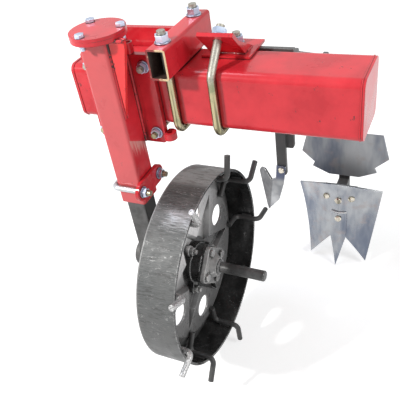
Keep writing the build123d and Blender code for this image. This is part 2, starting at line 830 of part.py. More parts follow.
fold = fold.rotate(crease_axis, share_fold)
pieces["tine_share"] = facet + fold - tine_hole
pieces["tine_share_bolt"] = group(
    [
        coach_bolt(tine_x, share_bolt_z, shank_front - share_plate, share_plate + shank_depth),
        shank_nut(tine_x, share_bolt_z),
    ]
)

# Ridger: guard plate and frog on the shank, two rolled wings and a point in front
guard_plane = Plane(origin=(ridger_x, shank_front, guard_top), x_dir=(1, 0, 0), z_dir=(0, -1, 0))
guard_side = [(-41, -137), (-87, -116), (-81, -102), (-116, -70), (-98, 0)]
guard_outline = guard_side + [(-x, z) for x, z in reversed(guard_side)]
pieces["ridger_guard"] = plate(guard_plane, guard_outline, guard_plate)

frog_front = shank_front - frog_depth
roll_z = (wing_top + wing_tip) / 2


def roll(radius, side):
    across = (side * cos(radians(wing_sweep)), sin(radians(wing_sweep)), 0)
    middle = (ridger_x, frog_front - wing_roll / cos(radians(wing_sweep)), roll_z)
    return extrude(Plane(origin=middle, z_dir=across) * Circle(radius), wing_roll, both=True)


def rolled(points, inner, outer, side):
    plane = Plane(origin=(ridger_x, shank_front, 0), x_dir=(side, 0, 0), z_dir=(0, -side, 0))
    shell = roll(outer, side) - roll(inner, side)
    face = make_face(Polyline(*points, close=True))
    return extrude(plane * face, side * 2 * frog_depth) & shell


wing_points = [
    (seat_gap, wing_top),
    (wing_reach, wing_top - 35),
    (wing_reach - 32, wing_tip),
    (seat_gap, wing_tip + 100),
]
point_points = [(0, point_top), (point_half, point_top), (point_half, point_tip + 90), (0, point_tip)]
wing_inner = wing_roll - wing_plate
wings = [rolled(wing_points, wing_inner, wing_roll, side) for side in (-1, 1)]
point_outer = wing_inner - seat_gap
point = rolled(point_points, point_outer - wing_plate, point_outer, 1)
point = point + rolled(point_points, point_outer - wing_plate, point_outer, -1)
frog = block(
    ridger_x - frog_width / 2, ridger_x + frog_width / 2, frog_front, shank_front, frog_bottom, frog_top
)
for side in (-1, 1):
    frog = frog - roll(wing_roll + seat_gap, side)
    hollow_from = ridger_x + side * shank_half
    hollow_to = ridger_x + side * frog_width / 2
    frog = frog - block(hollow_from, hollow_to, frog_front + frog_flange, shank_front, frog_bottom, frog_top)

# Ridger bolts: two through the centre line into the shank, one square to each wing
sweep_cos = cos(radians(wing_sweep))
sweep_sin = sin(radians(wing_sweep))


def wing_front(x, z, depth):
    drop = sqrt((wing_roll - depth) ** 2 - (z - roll_z) ** 2)
    return frog_front - (wing_roll - drop) / sweep_cos + x * sweep_sin / sweep_cos


ridger_bolts = []
ridger_shank = shank(ridger_x, tine_top, ridger_bottom)
high_face = wing_front(0, ridger_bolt_high + coach_radius, wing_plate)
low_face = wing_front(0, ridger_bolt_low + coach_radius, 2 * wing_plate + 2 * seat_gap)
for z, face in ((ridger_bolt_high, high_face), (ridger_bolt_low, low_face)):
    room = rod_y(m10_r + hole_gap, face, holder_face, ridger_x, z)
    ridger_shank = ridger_shank - room
    frog = frog - room
    point = point - room
    wings = [wing - room for wing in wings]
    ridger_bolts.append(coach_bolt(ridger_x, z, face, holder_face - face))
    ridger_bolts.append(shank_nut(ridger_x, z))
wing_rise = wing_bolt_z - roll_z
wing_deep = sqrt((wing_roll - wing_plate) ** 2 - wing_rise**2)
for index, side in enumerate((-1, 1)):
    seat_y = wing_front(wing_bolt_x, wing_bolt_z, wing_plate + 2 * seat_gap)
    seat = (ridger_x + side * wing_bolt_x, seat_y, wing_bolt_z)
    square = toward(seat, (-side * sweep_sin * wing_deep, sweep_cos * wing_deep, wing_rise))
    wing_bolt = extrude(Circle(m10_r), wing_plate + wing_bolt_grip) + coach_head()
    room = extrude(square * Circle(m10_r + seat_gap), wing_plate + wing_bolt_grip)
    frog = frog - room
    wings[index] = wings[index] - room
    ridger_bolts.append(square * wing_bolt)
pieces["ridger_shank"] = ridger_shank
pieces["ridger_frog"] = frog
pieces["ridger_wings"] = group(wings)
pieces["ridger_point"] = point
pieces["ridger_bolts"] = group(ridger_bolts)

for name, shape in pieces.items():
    export_step(shape, "parts/" + name + ".step")
    print(name, len(shape.solids()), round(shape.volume))
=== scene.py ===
# %% [markdown]
# # Dressing an inter-row cultivator section
# A red toolbar carries a lugged ground wheel on a sliding leg in front, and a tine and a
# ridger on a small linkage behind. All the parts come ready made, at their real size and in
# their real place. This lesson gives them paint, plating, wear, weld beads and threads.

# %% Load the parts
import json
import random
from functools import partial
from math import asin, atan2, copysign, cos, degrees, pi, radians, sin, sqrt

import bpy
from mathutils import Matrix, Vector


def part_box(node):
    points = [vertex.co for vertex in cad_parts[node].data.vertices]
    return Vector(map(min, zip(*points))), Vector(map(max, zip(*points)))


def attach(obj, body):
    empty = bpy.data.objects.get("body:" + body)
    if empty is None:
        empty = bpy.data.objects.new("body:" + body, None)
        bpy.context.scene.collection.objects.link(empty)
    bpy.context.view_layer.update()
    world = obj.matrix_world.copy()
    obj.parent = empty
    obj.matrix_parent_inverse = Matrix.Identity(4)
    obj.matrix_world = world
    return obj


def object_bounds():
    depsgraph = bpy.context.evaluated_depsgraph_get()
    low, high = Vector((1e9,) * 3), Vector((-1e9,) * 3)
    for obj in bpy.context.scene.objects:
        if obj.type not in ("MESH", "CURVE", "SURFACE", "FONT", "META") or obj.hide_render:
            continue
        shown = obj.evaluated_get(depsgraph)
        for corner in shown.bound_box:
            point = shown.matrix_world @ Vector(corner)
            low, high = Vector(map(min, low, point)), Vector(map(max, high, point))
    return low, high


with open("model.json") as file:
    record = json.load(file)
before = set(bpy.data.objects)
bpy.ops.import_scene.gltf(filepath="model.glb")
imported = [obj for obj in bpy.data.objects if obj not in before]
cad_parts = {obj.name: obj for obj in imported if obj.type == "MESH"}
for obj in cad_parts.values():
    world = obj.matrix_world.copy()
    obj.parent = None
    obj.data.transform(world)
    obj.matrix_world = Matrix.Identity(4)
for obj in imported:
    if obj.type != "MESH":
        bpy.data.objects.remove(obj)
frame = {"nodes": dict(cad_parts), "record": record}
cad_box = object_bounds()
nodes = frame["nodes"]
subparts = frame["record"]["subparts"]
scene = bpy.context.scene
random.seed(47)

# %% [markdown]
# ## The camera
# The picture was taken by someone stooping in front of the machine, a little to its right, with
# the horizon leaning. A camera can be aimed with a constraint, but a lean is easier to keep
# when the three axes of the camera are worked out from three angles and put in a matrix.

# %% Set the camera
view_place = Vector((0.752, -0.9174, 0.4888))
view_azimuth = radians(30.53)
view_elevation = radians(37.80)
view_lean = radians(-10.18)
lens_mm = 49.86
frame_rise = 0.031

forward = Vector((
    -sin(view_azimuth) * cos(view_elevation),
    cos(view_azimuth) * cos(view_elevation),
    -sin(view_elevation),
))
level = Vector((cos(view_azimuth), sin(view_azimuth), 0))
upright = level.cross(forward)
right = level * cos(view_lean) + upright * sin(view_lean)
above = upright * cos(view_lean) - level * sin(view_lean)

camera_data = bpy.data.cameras.new("camera")
camera_data.lens = lens_mm
camera_data.shift_y = frame_rise
camera = bpy.data.objects.new("camera", camera_data)
axes = Matrix((right, above, -forward)).transposed().to_4x4()
camera.matrix_world = Matrix.Translation(view_place) @ axes
scene.collection.objects.link(camera)
scene.camera = camera
scene.view_settings.view_transform = "Standard"
print("camera at", tuple(round(c, 3) for c in view_place))

# %% [markdown]
# ## Nodes in short
# A material is a small web, or tree, of nodes. A few helpers keep it readable. They add to the
# tree that is being worked on, so a call names only what is special to it. One puts in a node and
# fills its sockets from constants or from other sockets, and two more tell where a point lies.

# %% Helpers for nodes
def work_on(new_tree):
    global tree
    tree = new_tree


def feed(socket, value):
    if isinstance(value, bpy.types.NodeSocket):
        tree.links.new(value, socket)
    elif socket.type == "RGBA":
        socket.default_value = (*value, 1.0)
    else:
        socket.default_value = value


def fill(made, **inputs):
    for name, value in inputs.items():
        feed(made.inputs[name.replace("_", " ")], value)


def put(kind, settings=None, **inputs):
    made = tree.nodes.new("ShaderNode" + kind)
    for name, value in (settings or {}).items():
        setattr(made, name, value)
    fill(made, **inputs)
    return made


def spot_of():
    return put("TexCoord").outputs["Object"]


def split(vector):
    return put("SeparateXYZ", Vector=vector).outputs


print("node helpers ready")

# %% [markdown]
# The others do sums, soft steps from one value to another, colour mixes and noise. Products are
# clamped, because nearly all of them join two masks. A Mix node has sockets for every kind of
# data, so the ones for colours are picked by number.

# %% Helpers for sums and mixes
mix_sockets = (0, 6, 7)
mix_result = 2


def sum_of(operation, first, second=0.0):
    made = put("Math", {"operation": operation, "use_clamp": operation == "MULTIPLY"})
    feed(made.inputs[0], first)
    feed(made.inputs[1], second)
    return made.outputs[0]


plus = partial(sum_of, "ADD")
minus = partial(sum_of, "SUBTRACT")
times = partial(sum_of, "MULTIPLY")


def most(first, *others):
    for other in others:
        first = sum_of("MAXIMUM", first, other)
    return first


def vector_sum(operation, *vectors):
    made = put("VectorMath", {"operation": operation})
    for socket, vector in zip(made.inputs, vectors):
        feed(socket, vector)
    return made.outputs["Value" if operation in ("DOT_PRODUCT", "LENGTH") else "Vector"]


def ramp(value, low, high, to_low=0.0, to_high=1.0):
    made = put("MapRange", {"interpolation_type": "SMOOTHSTEP"}, Value=value)
    fill(made, From_Min=low, From_Max=high, To_Min=to_low, To_Max=to_high)
    return made.outputs["Result"]


def mix(factor, first, second):
    made = put("Mix", {"data_type": "RGBA"})
    for index, value in zip(mix_sockets, (factor, first, second)):
        feed(made.inputs[index], value)
    return made.outputs[mix_result]


def noise(vector, scale, detail=3.0, rough=0.5):
    made = put("TexNoise", Vector=vector, Scale=scale, Detail=detail, Roughness=rough)
    return made.outputs["Fac"]


def grey(value):
    return (value, value, value)


print("sums and mixes ready")

# %% [markdown]
# ## Effects that several finishes share
# Wear, dust and grain turn up on nearly every surface, so each is a node group with named
# sockets, built once and placed in many materials. A group puts out only masks, heights and
# normals, and a single one is handed over as it is. The shader itself stays in each material.

# %% A group's shell
def start_group(name, inputs, outputs):
    print("group", name)
    group = bpy.data.node_groups.new(name, "ShaderNodeTree")
    for label, value in inputs.items():
        kind = "NodeSocketVector" if isinstance(value, tuple) else "NodeSocketFloat"
        socket = group.interface.new_socket(label, in_out="INPUT", socket_type=kind)
        socket.default_value = value
    for label, kind in outputs.items():
        group.interface.new_socket(label, in_out="OUTPUT", socket_type="NodeSocket" + kind)
    work_on(group)
    return group, group.nodes.new("NodeGroupInput").outputs, group.nodes.new("NodeGroupOutput").inputs


def place(group, **inputs):
    made = tree.nodes.new("ShaderNodeGroup")
    made.node_tree = group
    fill(made, **inputs)
    return made.outputs if len(made.outputs) > 1 else made.outputs[0]


print("groups ready")

# %% [markdown]
# Cut plate never has a razor edge: paint draws back from it and knocks land on it. The Bevel
# node gives the normal of a rounded edge without touching the mesh. Where that normal leaves
# the true one, an edge is near, and that difference is the wear mask.

# %% Soft edges
soft_edges, given, out = start_group(
    "soft_edges", {"Radius": 0.0015}, {"Edge": "Float", "Normal": "Vector"}
)
rounded = put("Bevel", {"samples": 6}, Radius=given["Radius"]).outputs["Normal"]
flat = put("NewGeometry").outputs["Normal"]
closeness = vector_sum("DOT_PRODUCT", rounded, flat)
feed(out["Edge"], ramp(closeness, 0.985, 0.80))
feed(out["Normal"], rounded)

# %% [markdown]
# Chips come in clusters: a broad noise says where the knocks were, a fine one breaks their
# outline. Near an edge far more of them get through, so the edge mask is added before the cut.

# %% Chips
chips, given, out = start_group(
    "chips", {"Edge": 0.0, "Scale": 90.0, "Amount": 0.3, "Edge Pull": 0.25}, {"Mask": "Float"}
)
spot = spot_of()
broad = noise(spot, sum_of("DIVIDE", given["Scale"], 7.0), 2.0)
fine = noise(spot, given["Scale"], 5.0, 0.65)
level_sum = plus(times(broad, 0.5), times(fine, 0.5))
pulled = plus(level_sum, times(given["Edge"], given["Edge Pull"]))
cut = minus(0.95, times(given["Amount"], 0.5))
feed(out["Mask"], ramp(minus(pulled, cut), 0.0, 0.03))

# %% [markdown]
# Dust settles on what faces up. The normal's height is the start, and a cloudy noise keeps the
# film from looking sprayed on.

# %% Dust
dust, given, out = start_group("dust", {"Amount": 0.4, "Scale": 25.0}, {"Mask": "Float"})
facing = split(put("NewGeometry").outputs["Normal"])["Z"]
cloud = noise(spot_of(), given["Scale"], 6.0, 0.6)
lying = times(ramp(facing, -0.3, 1.0), ramp(cloud, 0.3, 0.75))
feed(out["Mask"], times(lying, given["Amount"]))

# %% [markdown]
# Rolled steel, sprayed paint and brushed plating all have a grain. It is noise pulled long by a
# stretch, and it drives the bump and a change in roughness.

# %% Grain
grain, given, out = start_group(
    "grain", {"Stretch": (1.0, 1.0, 1.0), "Scale": 400.0}, {"Height": "Float", "Patches": "Float"}
)
spot = spot_of()
pulled = vector_sum("MULTIPLY", spot, given["Stretch"])
broad_scale = sum_of("DIVIDE", given["Scale"], 22.0)
feed(out["Height"], noise(pulled, given["Scale"], 4.0, 0.6))
feed(out["Patches"], noise(spot, broad_scale, 4.0, 0.55))

# %% [markdown]
# Shade gathers in corners and creases, and in some of them old paint is left too. The ambient
# occlusion node tells how closed in a point is, so it marks the creases of pressed and welded plate
# for painted shade.

# %% Creases
crease_shade, given, out = start_group("crease_shade", {"Reach": 0.03}, {"Mask": "Float"})
closed_in = put("AmbientOcclusion", {"samples": 8}, Distance=given["Reach"]).outputs["AO"]
feed(out["Mask"], ramp(closed_in, 0.95, 0.45))

# %% [markdown]
# Things that turn are scratched along their turning. This group gives a point's radius, turn and
# station about the axle, and a vector unrolled around it, so that noise on that vector runs round
# the wheel.

# %% Coordinates around the axle
rim_low, rim_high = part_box("wheel_rim")
axle_centre = (rim_low + rim_high) / 2
around_axle, given, out = start_group(
    "around_axle",
    {"Centre": tuple(axle_centre)},
    {"Radius": "Float", "Turn": "Float", "Station": "Float", "Unrolled": "Vector"},
)
local = split(vector_sum("SUBTRACT", spot_of(), given["Centre"]))
turn = sum_of("ARCTAN2", local["Z"], local["Y"])
flat_spot = put("CombineXYZ", X=0.0, Y=local["Y"], Z=local["Z"]).outputs["Vector"]
radius = vector_sum("LENGTH", flat_spot)
unrolled = put("CombineXYZ", X=local["X"], Y=turn, Z=radius).outputs["Vector"]
feed(out["Radius"], radius)
feed(out["Turn"], turn)
feed(out["Station"], local["X"])
feed(out["Unrolled"], unrolled)
print("about", tuple(round(c, 4) for c in axle_centre))

# %% [markdown]
# ## The finishes
# Each finish is a function that builds one material. They share a start, a Principled shader and
# softened edges on a new material, and an end, a bump laid on those edges, which hands over the
# material. Between the two, edges are rubbed, the grain's patches make a value drift or cloud a
# pair of tones, and marks are laid over a colour. Finishes are kept by the record's slots.

# %% What finishes share
def start_finish(name, edge_radius=None):
    global finish
    finish = bpy.data.materials.new(name)
    finish.use_nodes = True
    work_on(finish.node_tree)
    print("finish", name)
    return place(soft_edges, Radius=edge_radius) if edge_radius else None


def rub(edges, **inputs):
    return place(chips, Edge=edges["Edge"], **inputs)


def drift(patches, low, high):
    return ramp(patches, 0.25, 0.75, low, high)


def clouded(patches, first, second):
    return mix(ramp(patches, 0.3, 0.7), first, second)


def overlay(colour, marks):
    for mask, tone in marks:
        colour = mix(mask(), colour, tone)
    return colour


def shade(**inputs):
    fill(tree.nodes["Principled BSDF"], **inputs)
    return finish


def end_finish(edges, height, depth, **inputs):
    bump = put("Bump", Distance=depth, Strength=0.6, Height=height, Normal=edges["Normal"])
    return shade(Normal=bump.outputs["Normal"], **inputs)


finishes = {}
print("finishes ready")

# %% [markdown]
# ### Red enamel
# The frame is sprayed in a thick gloss red over dark primer. Its colour drifts a little from
# thick to thin coats, chips show primer at corners and in stray specks, and dust greys it on
# top. Painted shade darkens the seams where plates meet. A clear coat gives the pale sheen that
# turns the lit faces towards pink. Each red is a pair of tones, for thin and thick paint. The gusset
# has a brighter pair, a painted lit copy of the red, and paint never held well on the rough beads
# next to it.

# %% Red enamel
usual_reds = ((0.58, 0.019, 0.031), (0.75, 0.036, 0.051))
# The gusset's reds are a brighter, painted lit copy of the usual reds.
painted_lit_reds = ((0.80, 0.042, 0.045), (0.97, 0.052, 0.054))
primer = (0.055, 0.030, 0.030)
field_dust = (0.42, 0.30, 0.28)
seam_shade = (0.12, 0.012, 0.014)
seam_shade_reach = 0.004


def enamel(edges, amount, reds=usual_reds):
    bumps, patches = place(grain, Scale=330.0)
    chipped = rub(edges, Scale=150.0, Amount=amount)
    specks = place(chips, Scale=330.0, Amount=0.633)
    chipped = most(chipped, specks)
    dusty = place(dust, Amount=0.04, Scale=18.0)
    rough = plus(ramp(patches, 0.3, 0.75, 0.24, 0.40), dusty)
    rough = plus(rough, times(chipped, 0.3))
    relief = minus(times(bumps, 0.35), chipped)
    end_finish(
        edges, relief, 0.00015,
        Roughness=rough, Specular_IOR_Level=0.08, Coat_Weight=0.55, Coat_Roughness=0.12,
    )
    coat = clouded(patches, *reds)
    # Painted shade: seams where plates meet are darkened.
    coat = mix(place(crease_shade, Reach=seam_shade_reach), coat, seam_shade)
    return mix(dusty, mix(chipped, coat, primer), field_dust)


def red_enamel(name, amount=0.40, reds=usual_reds, marks=()):
    edges = start_finish(name, 0.0018)
    colour = enamel(edges, amount, reds)
    return shade(Base_Color=overlay(colour, marks))


finishes["red_paint"] = red_enamel("red_enamel")
# The gusset's finish: painted light, a brighter red for a face that catches more light.
painted_lit_finish = red_enamel("painted_lit_enamel", reds=painted_lit_reds)
flaked_finish = red_enamel("flaked_enamel", amount=0.78)

# %% [markdown]
# The front of the post has a painted pale pink sheen, the reflection of a bright sky on its lit
# face. On its right side, just below the bracket plate, it has a pale painted reflection of the sky,
# chalky and scuffed, which ends in ragged strokes that run down the post. The boxes of the post
# and the plate say where that is.

# %% Scuffed post
post_low, post_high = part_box("leg_post")
plate_low, plate_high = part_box("leg_bracket_plate")
painted_reflection_chalk = (0.78, 0.40, 0.36)
painted_sheen_pink = (0.68, 0.165, 0.168)
sheen_depth = 0.008
side_from, side_full = post_high.x - 0.0012, post_high.x - 0.0004
scuff_length = 0.050
scuff_slant = 0.6
stroke_fade = 0.03


# Painted sheen: the front face is paled towards pink, a reflection of bright sky.
def post_front_sheen():
    depth = split(spot_of())["Y"]
    return ramp(depth, post_low.y + sheen_depth, post_low.y, 0.0, 0.55)


# Painted reflection of the sky on the right side below the plate, broken into scuffed strokes.
def post_scuffs_and_reflection():
    spot = split(spot_of())
    on_side = ramp(spot["X"], side_from, side_full)
    ahead = minus(plate_low.y, spot["Y"])
    start = plus(plate_low.z, times(ahead, scuff_slant))
    below = minus(start, spot["Z"])
    strokes = place(grain, Stretch=(1.0, 1.0, 0.04), Scale=330.0)["Height"]
    reach = ramp(strokes, 0.34, 0.66, 0.4 * scuff_length, scuff_length)
    fading = ramp(minus(reach, below), 0.0, stroke_fade, 0.0, 0.75)
    ragged = times(fading, ramp(below, 0.0, 0.003))
    return times(on_side, ragged)


post_finish = red_enamel("scuffed_enamel", marks=((post_front_sheen, painted_sheen_pink), (post_scuffs_and_reflection, painted_reflection_chalk)))

# %% [markdown]
# Water and dirt run down the bracket plate beside the rough weld on the post. That streak is broken,
# hugs the weld and grows darker towards the lower edge of the plate.

# %% Streaked plate
streak_dirt = (0.050, 0.022, 0.020)
streak_width = 0.018
streak_edge = 0.002


def weld_streak():
    spot = split(spot_of())
    beside = minus(spot["X"], post_high.x)
    past_weld = ramp(beside, -streak_edge, 0.0)
    close = times(ramp(beside, streak_width, streak_edge), past_weld)
    runs = place(grain, Stretch=(1.0, 1.0, 0.10), Scale=190.0)["Height"]
    broken = times(ramp(runs, 0.32, 0.56), close)
    return times(broken, ramp(spot["Z"], plate_high.z, plate_low.z, 0.15, 1.0))


plate_finish = red_enamel("streaked_enamel", marks=((weld_streak, streak_dirt),))

# %% [markdown]
# ### Black paint
# The linkage, the leg and the tool shanks are brushed satin black. It is thin, so edges rub
# through to grey steel and dust shows far more than on red. The leg is greasy from its clamp, in
# smears, and its side towards the wheel is darkened all over with painted shade.

# %% Black paint
leg_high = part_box("leg_bar")[1]
grease_and_shade = grey(0.016)
face_depth = 0.001


# Grease in smears, and painted shade all over the face towards the wheel.
def leg_grease_and_shade():
    spot = spot_of()
    painted_shade_side = sum_of("GREATER_THAN", split(spot)["X"], leg_high.x - face_depth)
    smears = ramp(noise(spot, 30.0, 4.0, 0.6), 0.46, 0.66, 0.0, 0.6)
    return most(painted_shade_side, smears)


def black_paint(name, marks=()):
    edges = start_finish(name, 0.0015)
    bumps, patches = place(grain, Scale=260.0)
    rubbed = rub(edges, Scale=120.0, Amount=0.35, Edge_Pull=0.32)
    dusty = place(dust, Amount=0.22, Scale=22.0)
    coat = mix(patches, grey(0.055), grey(0.11))
    worn = overlay(mix(rubbed, coat, (0.26, 0.25, 0.24)), marks)
    return end_finish(
        edges, bumps, 0.0002,
        Base_Color=mix(dusty, worn, (0.31, 0.30, 0.28)),
        Metallic=times(rubbed, 0.8),
        Roughness=drift(patches, 0.36, 0.58),
    )


finishes["black_paint"] = black_paint("satin_black")
leg_finish = black_paint("greasy_shaded_black", marks=((leg_grease_and_shade, grease_and_shade),))

# %% [markdown]
# ### Wheel coat
# The wheel was dipped black. Radius, turn and station about the axle tell its places apart. Its
# rim is plate bent in rolls, which left fine marks across the tread. Soil has rubbed one patch of
# the tread bright, and that patch is also a painted highlight. Next to it the tread is darker in a
# band.

# %% Places on the wheel
tread_radius = (rim_high.y - rim_low.y) / 2
tread_half = (rim_high.x - rim_low.x) / 2
rim_wall = 0.006
inner_radius = tread_radius - rim_wall
tread_from, tread_full = tread_radius - 0.0022, tread_radius - 0.0012
rim_from, rim_full = inner_radius - 0.0012, inner_radius - 0.0002
hub_shade_reach, hub_fade = 0.060, 0.003
patch_from, patch_full = -0.048, 0.004
roll_marks = (38.0, 170.0, 0.0)
rubbed_and_lit_turn, painted_turn, painted_light_turn, painted_sky_turn = 110.0, 99.0, 105.0, 75.0


def toward(spin, angle):
    return sum_of("COSINE", minus(spin["Turn"], radians(angle)))


def wheel_places(spin):
    at = {}
    at["tread"] = ramp(spin["Radius"], tread_from, tread_full)
    at["rim"] = ramp(spin["Radius"], rim_from, rim_full)
    # The hub's dark reaches onto the web around it as painted shade.
    at["hub"] = ramp(spin["Radius"], hub_shade_reach + hub_fade, hub_shade_reach)
    at["inside"] = minus(at["rim"], at["tread"])
    at["marks"] = noise(vector_sum("MULTIPLY", spin["Unrolled"], roll_marks), 1.0, 6.0, 0.68)
    at["rubbed"] = toward(spin, rubbed_and_lit_turn)
    # The rubbed patch: bare steel that is also a painted highlight.
    near = ramp(at["rubbed"], 0.965, 1.0)
    at["patch"] = times(near, ramp(spin["Station"], patch_from, patch_full))
    # A darker band of the tread lies next to the patch.
    at["painted"] = ramp(toward(spin, painted_turn), 0.974, 0.996)
    at["knocked"] = times(at["tread"], ramp(at["rubbed"], 0.1, 0.6))
    return at


print("tread radius", round(tread_radius, 4))

# %% [markdown]
# Steel shows through at edges, in specks and on the rubbed patch, where the bright steel is also a
# painted highlight. Stones have left scratches around that patch. The lip towards the leg is
# polished all round, the other lip in spots.

# %% Bare steel on the wheel
lip_width = 0.0035
lip_full = 0.4 * lip_width


def bare_steel(spin, at, edges):
    bare_cut = minus(at["marks"], minus(0.70, times(at["patch"], 0.34)))
    bare = times(at["tread"], ramp(bare_cut, -0.02, 0.24))
    bare = times(bare, ramp(at["painted"], 0.0, 1.0, 1.0, 0.12))
    specks = place(chips, Scale=420.0, Amount=0.68)
    rubbed = rub(edges, Scale=110.0, Amount=0.40, Edge_Pull=0.42)
    steel = most(rubbed, times(specks, 0.6), bare)
    off_line = sum_of("ABSOLUTE", minus(noise(spin["Unrolled"], 24.0, 2.0), 0.5))
    broken = ramp(noise(spin["Unrolled"], 60.0, 4.0, 0.65), 0.46, 0.62, 0.0, 0.6)
    scratch = times(ramp(off_line, 0.014, 0.004), broken)
    leg_lip = ramp(spin["Station"], lip_width - tread_half, lip_full - tread_half, 0.0, 0.5)
    free_lip = ramp(spin["Station"], tread_half - lip_width, tread_half - lip_full)
    lips = most(leg_lip, times(free_lip, broken))
    return most(steel, times(scratch, at["knocked"]), times(lips, at["tread"]))


print("bare steel ready")

# %% [markdown]
# The pressed web is worn grey, painted lighter at its upper front where light falls, with painted
# shade in its creases. The hub is still dark, and that dark reaches onto the web around it as
# painted shade. The smooth inside of the rim is dark too. Soil has scoured the tread to a dull
# grey, a painted pale reflection of the sky lies near its top, and mud has left dark smudges
# around the rubbed patch.

# %% Web and tread
def web_colour(spin, at, patches):
    # Painted light: the web is paler towards its upper front, where light falls.
    painted_light = ramp(toward(spin, painted_light_turn), -0.4, 0.95)
    web = mix(times(painted_light, painted_light), grey(0.15), grey(0.84))
    web = mix(ramp(patches, 0.45, 0.75, 0.0, 0.35), web, grey(0.10))
    # Painted shade in the web's creases.
    web = mix(place(crease_shade, Reach=0.022), web, grey(0.03))
    dark = mix(ramp(patches, 0.35, 0.7), grey(0.014), grey(0.034))
    return mix(most(at["rim"], at["hub"]), web, dark)


def tread_colour(spin, at, patches):
    lined = clouded(at["marks"], (0.080, 0.084, 0.084), (0.158, 0.164, 0.164))
    rolled = ramp(at["rubbed"], 0.25, 0.9, 0.35, 1.0)
    tread = mix(rolled, (0.124, 0.127, 0.127), lined)
    tread = mix(ramp(patches, 0.54, 0.78), tread, grey(0.090))
    # The tread is darker in a band next to the patch.
    painted = times(at["painted"], ramp(at["marks"], 0.72, 0.42))
    tread = mix(painted, tread, (0.028, 0.031, 0.032))
    # Painted reflection: near its top the tread is paled, as the reflection of a bright sky.
    scoured = ramp(toward(spin, painted_sky_turn), 0.955, 0.985)
    tread = mix(scoured, tread, (0.205, 0.220, 0.220))
    smudge = ramp(noise(spin["Unrolled"], 34.0, 6.0, 0.72), 0.51, 0.62, 0.0, 0.6)
    return mix(times(smudge, at["knocked"]), tread, grey(0.050))


print("web and tread ready")

# %% Wheel coat
def wheel_coat():
    edges = start_finish("wheel_coat", 0.002)
    bumps, patches = place(grain, Scale=900.0)
    spin = place(around_axle)
    at = wheel_places(spin)
    steel = bare_steel(spin, at, edges)
    coat = mix(at["tread"], web_colour(spin, at, patches), tread_colour(spin, at, patches))
    worn = mix(steel, coat, grey(0.38))
    dusty = place(dust, Amount=0.14, Scale=20.0)
    dusty = times(dusty, ramp(at["inside"], 0.0, 1.0, 1.0, 0.3))
    dull = times(minus(at["tread"], at["patch"]), 0.18)
    rough = plus(drift(patches, 0.22, 0.42), dull)
    pitted = times(bumps, ramp(at["inside"], 0.0, 1.0, 1.0, 0.15))
    relief = plus(pitted, times(at["marks"], at["tread"]))
    return end_finish(
        edges, relief, 0.0003,
        Base_Color=mix(dusty, worn, (0.26, 0.255, 0.245)),
        Metallic=times(steel, 0.75),
        Roughness=minus(rough, times(at["inside"], 0.10)),
        Specular_IOR_Level=0.35,
    )


finishes["wheel_paint"] = wheel_coat()

# %% [markdown]
# ### Zinc plate
# Nuts, washers and bolt heads are plated in bluish zinc, clouded by weather, with painted shade
# where they meet the plates.

# %% Zinc plate
def zinc_plate():
    edges = start_finish("zinc_plate", 0.0010)
    bumps, patches = place(grain, Scale=500.0)
    dulled = rub(edges, Scale=180.0, Amount=0.5, Edge_Pull=0.05)
    plate = clouded(patches, (0.43, 0.51, 0.66), (0.68, 0.74, 0.86))
    # Painted shade where nuts and washers meet the plates.
    plate = mix(place(crease_shade, Reach=0.004), plate, (0.09, 0.09, 0.11))
    return end_finish(
        edges, bumps, 0.00008,
        Base_Color=mix(dulled, plate, (0.34, 0.32, 0.30)),
        Metallic=1.0,
        Roughness=drift(patches, 0.28, 0.48),
    )


finishes["zinc_fastener"] = zinc_plate()

# %% [markdown]
# ### Yellow zinc
# The U-bolts and long bolts have the yellow passivated zinc that shimmers from gold to green
# to a faint rose. A slow noise walks through the three tints. Dark lines from drawing the rod run
# along it, and above the toolbar weather has bleached it to a rough mottled silver.

# %% Yellow zinc
bleach_from, bleach_full = 0.036, 0.062
green, gold_tint, rose = (0.26, 0.27, 0.165), (0.46, 0.405, 0.245), (0.48, 0.41, 0.34)
dim_silver, silver = (0.27, 0.26, 0.23), (0.50, 0.49, 0.45)


def yellow_zinc(name, scoured):
    edges = start_finish(name, 0.0008)
    bumps, patches = place(grain, Scale=420.0)
    spot = spot_of()
    height = split(spot)["Z"]
    walk = noise(spot, 32.0)
    shimmer = mix(ramp(walk, 0.34, 0.50), green, gold_tint)
    shimmer = mix(ramp(walk, 0.56, 0.70), shimmer, rose)
    paled = ramp(bumps, 0.2, 0.5, 0.6 * scoured, scoured)
    shimmer = mix(paled, shimmer, (0.82, 0.76, 0.66))
    drawn = place(grain, Stretch=(1.0, 1.0, 0.035), Scale=150.0)["Height"]
    shimmer = mix(ramp(drawn, 0.46, 0.60, 0.0, 0.85), shimmer, (0.13, 0.12, 0.065))
    bleached = mix(ramp(bumps, 0.35, 0.65), dim_silver, silver)
    shimmer = mix(ramp(height, bleach_from, bleach_full, 0.0, 0.85), shimmer, bleached)
    dulled = rub(edges, Scale=160.0, Amount=0.50)
    chalky = ramp(height, bleach_from, bleach_full, 0.0, 0.46)
    return end_finish(
        edges, bumps, 0.00008,
        Base_Color=mix(dulled, shimmer, (0.20, 0.17, 0.12)),
        Metallic=0.85,
        Roughness=most(drift(patches, 0.13, 0.26), chalky),
    )


finishes["yellow_zinc"] = yellow_zinc("yellow_zinc", 0.0)
pale_finish = yellow_zinc("pale_zinc", 0.9)

# %% [markdown]
# ### Bright steel
# The ridger is ground plate, polished by the soil it turns. Its colour drifts between dark blue
# and pale grey in long sweeps along the flow of soil, which are polish and painted reflections,
# and towards a faint rose in patches. A few brown water stains cloud it. Soil hardly touches the
# guard above, so its plate is duller and greyer.

